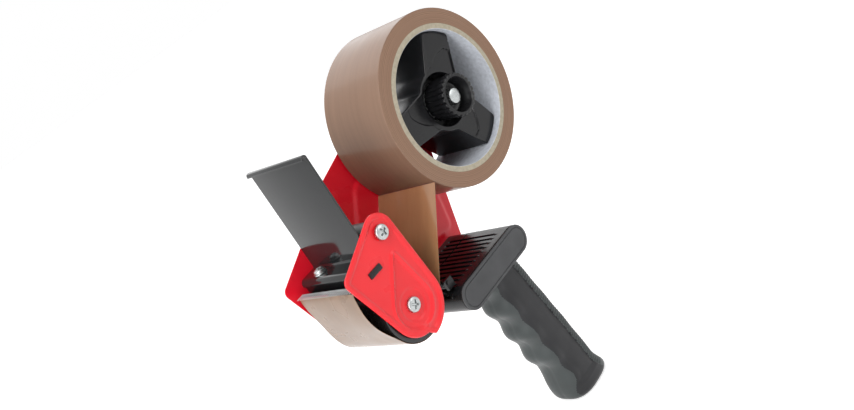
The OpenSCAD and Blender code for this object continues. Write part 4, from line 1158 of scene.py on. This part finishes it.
class BuildScrews(bpy.types.Operator):
    """Make the pan-head screws and the wiper's washers"""

    bl_idname = "dispenser.screws"
    bl_label = "Screws"

    def execute(self, context):
        sizes = context.scene.dispenser_sizes
        big, small = screw_rows(*BIG_SCREW), screw_rows(*SMALL_SCREW)
        dish = PLATE_OUT - DISH_THIN * sizes.dish_depth - sizes.border_step
        add_zinc("plate_screws", [
            place_screw(big, (UPPER[0], -PLATE_OUT, UPPER[1]), "-Y", 20),
            place_screw(big, (ROLLER[0], -dish, ROLLER[1]), "-Y", 52),
            place_screw(big, (UPPER[0], PLATE_OUT, UPPER[1]), "+Y", 10),
            place_screw(big, (ROLLER[0], dish, ROLLER[1]), "+Y", 33),
        ], "frame_screws")
        low, high = corners("wiper_washers")
        x, ys = (low[0] + high[0]) / 2, (low[1] + FOOT_WASHER[1], high[1] - FOOT_WASHER[1])
        screws = [place_screw(small, (x, y, high[2]), "+Z", 30 + 40 * i) for i, y in enumerate(ys)]
        add_zinc("foot_screws", screws, "wiper_screws")
        washers = [turned_ring(FOOT_WASHER, (0, FOOT_WASHER_THICK), 0.0002, 4, (0, 0), 64) for _ in ys]
        for washer, y in zip(washers, ys):
            washer.points = washer.points[:, [0, 2, 1]] + [x, y, low[2]]
        add_zinc("foot_washers", washers, "wiper_washers")
        low, high = corners("body_screws")
        xs = np.linspace(low[0] + SMALL_SCREW[0], high[0] - SMALL_SCREW[0], 3)
        screws = [place_screw(small, (x, PLATE_OUT, BODY_Z), "+Y", 25 * i) for i, x in enumerate(xs)]
        add_zinc("shell_screws", screws, "body_screws")
        return {"FINISHED"}


class DressParts(bpy.types.Operator):
    """Give the CAD parts that keep their own shape their finishes"""

    bl_idname = "dispenser.dress"
    bl_label = "Other parts"

    def execute(self, context):
        finishes = {
            "band": ["upper_spacer"],
            "zinc": ["roller_axle", "blade_rivets", "grip_screws", "grip_bolts", "hub_spacer", "knob_nut"],
            "blade": ["keeper_spring"],
            "black": ["keeper_bracket", "keeper_flap", "keeper_pin"],
        }
        for finish, nodes in finishes.items():
            for node in nodes:
                part = frame["nodes"][node]
                part.data.materials.clear()
                part.data.materials.append(material(finish))
        return {"FINISHED"}


# Stage


CAMERA_PLACE = (-0.35275, -0.39473, 0.12637)
CAMERA_RIGHT = (0.53503, -0.65617, -0.53218)
CAMERA_UP = (0.60155, -0.14644, 0.78534)
CAMERA_AHEAD = (0.59325, 0.74027, -0.31637)
CAMERA_LENS, CAMERA_SENSOR = 40.63, 36
LAMP_TARGET = (-0.04, 0, -0.06)
LAMPS = {  # Place, width and power
    "key": ((-0.55, -0.35, 0.75), 0.5, 4.4),
    "fill": ((-0.85, -0.20, 0.15), 0.5, 3.8),
    "side": ((0.45, -0.85, 0.25), 0.5, 1.5),
    "back": ((0.35, 0.70, 0.60), 1.0, 3),
}
ROOM_LIGHT = 0.42
FLOOR_GLOW, FLOOR_HALF = 0.6, 6.0
WHITE, FLOOR_WHITE = (1, 1, 1, 1), (0.86, 0.86, 0.86, 1)


def seen_directly(tree, unseen, seen):
    """One value for rays from the camera, off a mirror or through glass, another for light on things."""
    path = add_node(tree, "LightPath", {})
    ray = path.outputs["Is Camera Ray"]
    for kind in ("Is Glossy Ray", "Is Transmission Ray"):
        ray = add_node(tree, "Math", {0: ray, 1: path.outputs[kind]}, "MAXIMUM").outputs[0]
    inputs = {"Value": ray, "To Min": unseen, "To Max": seen}
    return add_node(tree, "MapRange", inputs).outputs["Result"]


def place_object(name, data, place, right, up, ahead):
    """A camera or lamp that looks along its own -Z."""
    columns = np.eye(4)
    columns[:3] = np.stack([right, up, -np.array(ahead), place], axis=1)
    holder = bpy.data.objects.new(name, data)
    holder.matrix_world = Matrix(columns.tolist())
    bpy.context.scene.collection.objects.link(holder)
    return holder


def soft_lamp(name, place, size, power):
    """A square area lamp that faces the dispenser."""
    lamp = bpy.data.lights.new(name, "AREA")
    lamp.shape = "SQUARE"
    lamp.size = size
    lamp.energy = power
    ahead = np.array(LAMP_TARGET) - np.array(place)
    ahead = ahead / np.linalg.norm(ahead)
    side = np.cross(ahead, (0, 0, 1))
    side = side / np.linalg.norm(side)
    place_object(name, lamp, place, side, np.cross(side, ahead), ahead)


class BuildStage(bpy.types.Operator):
    """Make the camera, the lamps, the white floor and the white world"""

    bl_idname = "dispenser.stage"
    bl_label = "Stage"

    def execute(self, context):
        scene = context.scene
        scene.view_settings.view_transform = "Standard"
        camera = bpy.data.cameras.new("photo_camera")
        camera.lens = CAMERA_LENS
        camera.sensor_width = CAMERA_SENSOR
        camera.sensor_fit = "HORIZONTAL"
        scene.camera = place_object("photo_camera", camera, CAMERA_PLACE, CAMERA_RIGHT, CAMERA_UP, CAMERA_AHEAD)
        for name, lamp in LAMPS.items():
            soft_lamp(name, *lamp)
        world = bpy.data.worlds.new("white_room")
        world.use_nodes = True
        tree = world.node_tree
        strength = seen_directly(tree, ROOM_LIGHT, 1.0)
        feed(tree, tree.nodes["Background"], {"Color": WHITE, "Strength": strength})
        scene.world = world
        paint = bpy.data.materials.new("floor_white")
        paint.use_nodes = True
        tree = paint.node_tree
        feed(tree, tree.nodes["Principled BSDF"], {
            "Base Color": FLOOR_WHITE, "Roughness": 0.9, "Emission Color": WHITE,
            "Emission Strength": seen_directly(tree, 0.0, FLOOR_GLOW),
        })
        floor = bpy.data.meshes.new("floor")
        level = np.full((4, 1), CAD_BOX[0][2])
        floor.from_pydata(np.hstack([SQUARE * FLOOR_HALF, level]).tolist(), [], [(0, 1, 2, 3)])
        floor.materials.append(paint)
        plane = bpy.data.objects.new("floor", floor)
        scene.collection.objects.link(plane)
        return {"FINISHED"}


class DispenserPanel(bpy.types.Panel):
    """Sizes, colours and steps of the dispenser"""

    bl_idname = "VIEW3D_PT_tape_dispenser"
    bl_label = "Tape Dispenser"
    bl_space_type = "VIEW_3D"
    bl_region_type = "UI"
    bl_category = "Tape Dispenser"

    def draw(self, context):
        for group in (context.scene.dispenser_sizes, context.scene.dispenser_colours):
            for name in group.__annotations__:
                self.layout.prop(group, name)
        for operator in OPERATORS:
            self.layout.operator(operator.bl_idname)


OPERATORS = (BuildPlates, BuildRoll, BuildTape, BuildHub, BuildKnob, BuildRoller, BuildWiper, BuildBlade,
             BuildBody, BuildGrip, BuildScrews, DressParts, BuildStage)
CLASSES = (DispenserSizes, DispenserColours, *OPERATORS, DispenserPanel)


def register():
    for kind in CLASSES:
        bpy.utils.register_class(kind)
    bpy.types.Scene.dispenser_sizes = PointerProperty(type=DispenserSizes)
    bpy.types.Scene.dispenser_colours = PointerProperty(type=DispenserColours)


def unregister():
    del bpy.types.Scene.dispenser_colours
    del bpy.types.Scene.dispenser_sizes
    for kind in reversed(CLASSES):
        bpy.utils.unregister_class(kind)


def main():
    """Builds the dispenser and its stage."""
    register()
    for operator in OPERATORS:
        group, name = operator.bl_idname.split(".")
        getattr(getattr(bpy.ops, group), name)()
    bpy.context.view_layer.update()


if __name__ == "__main__":
    main()
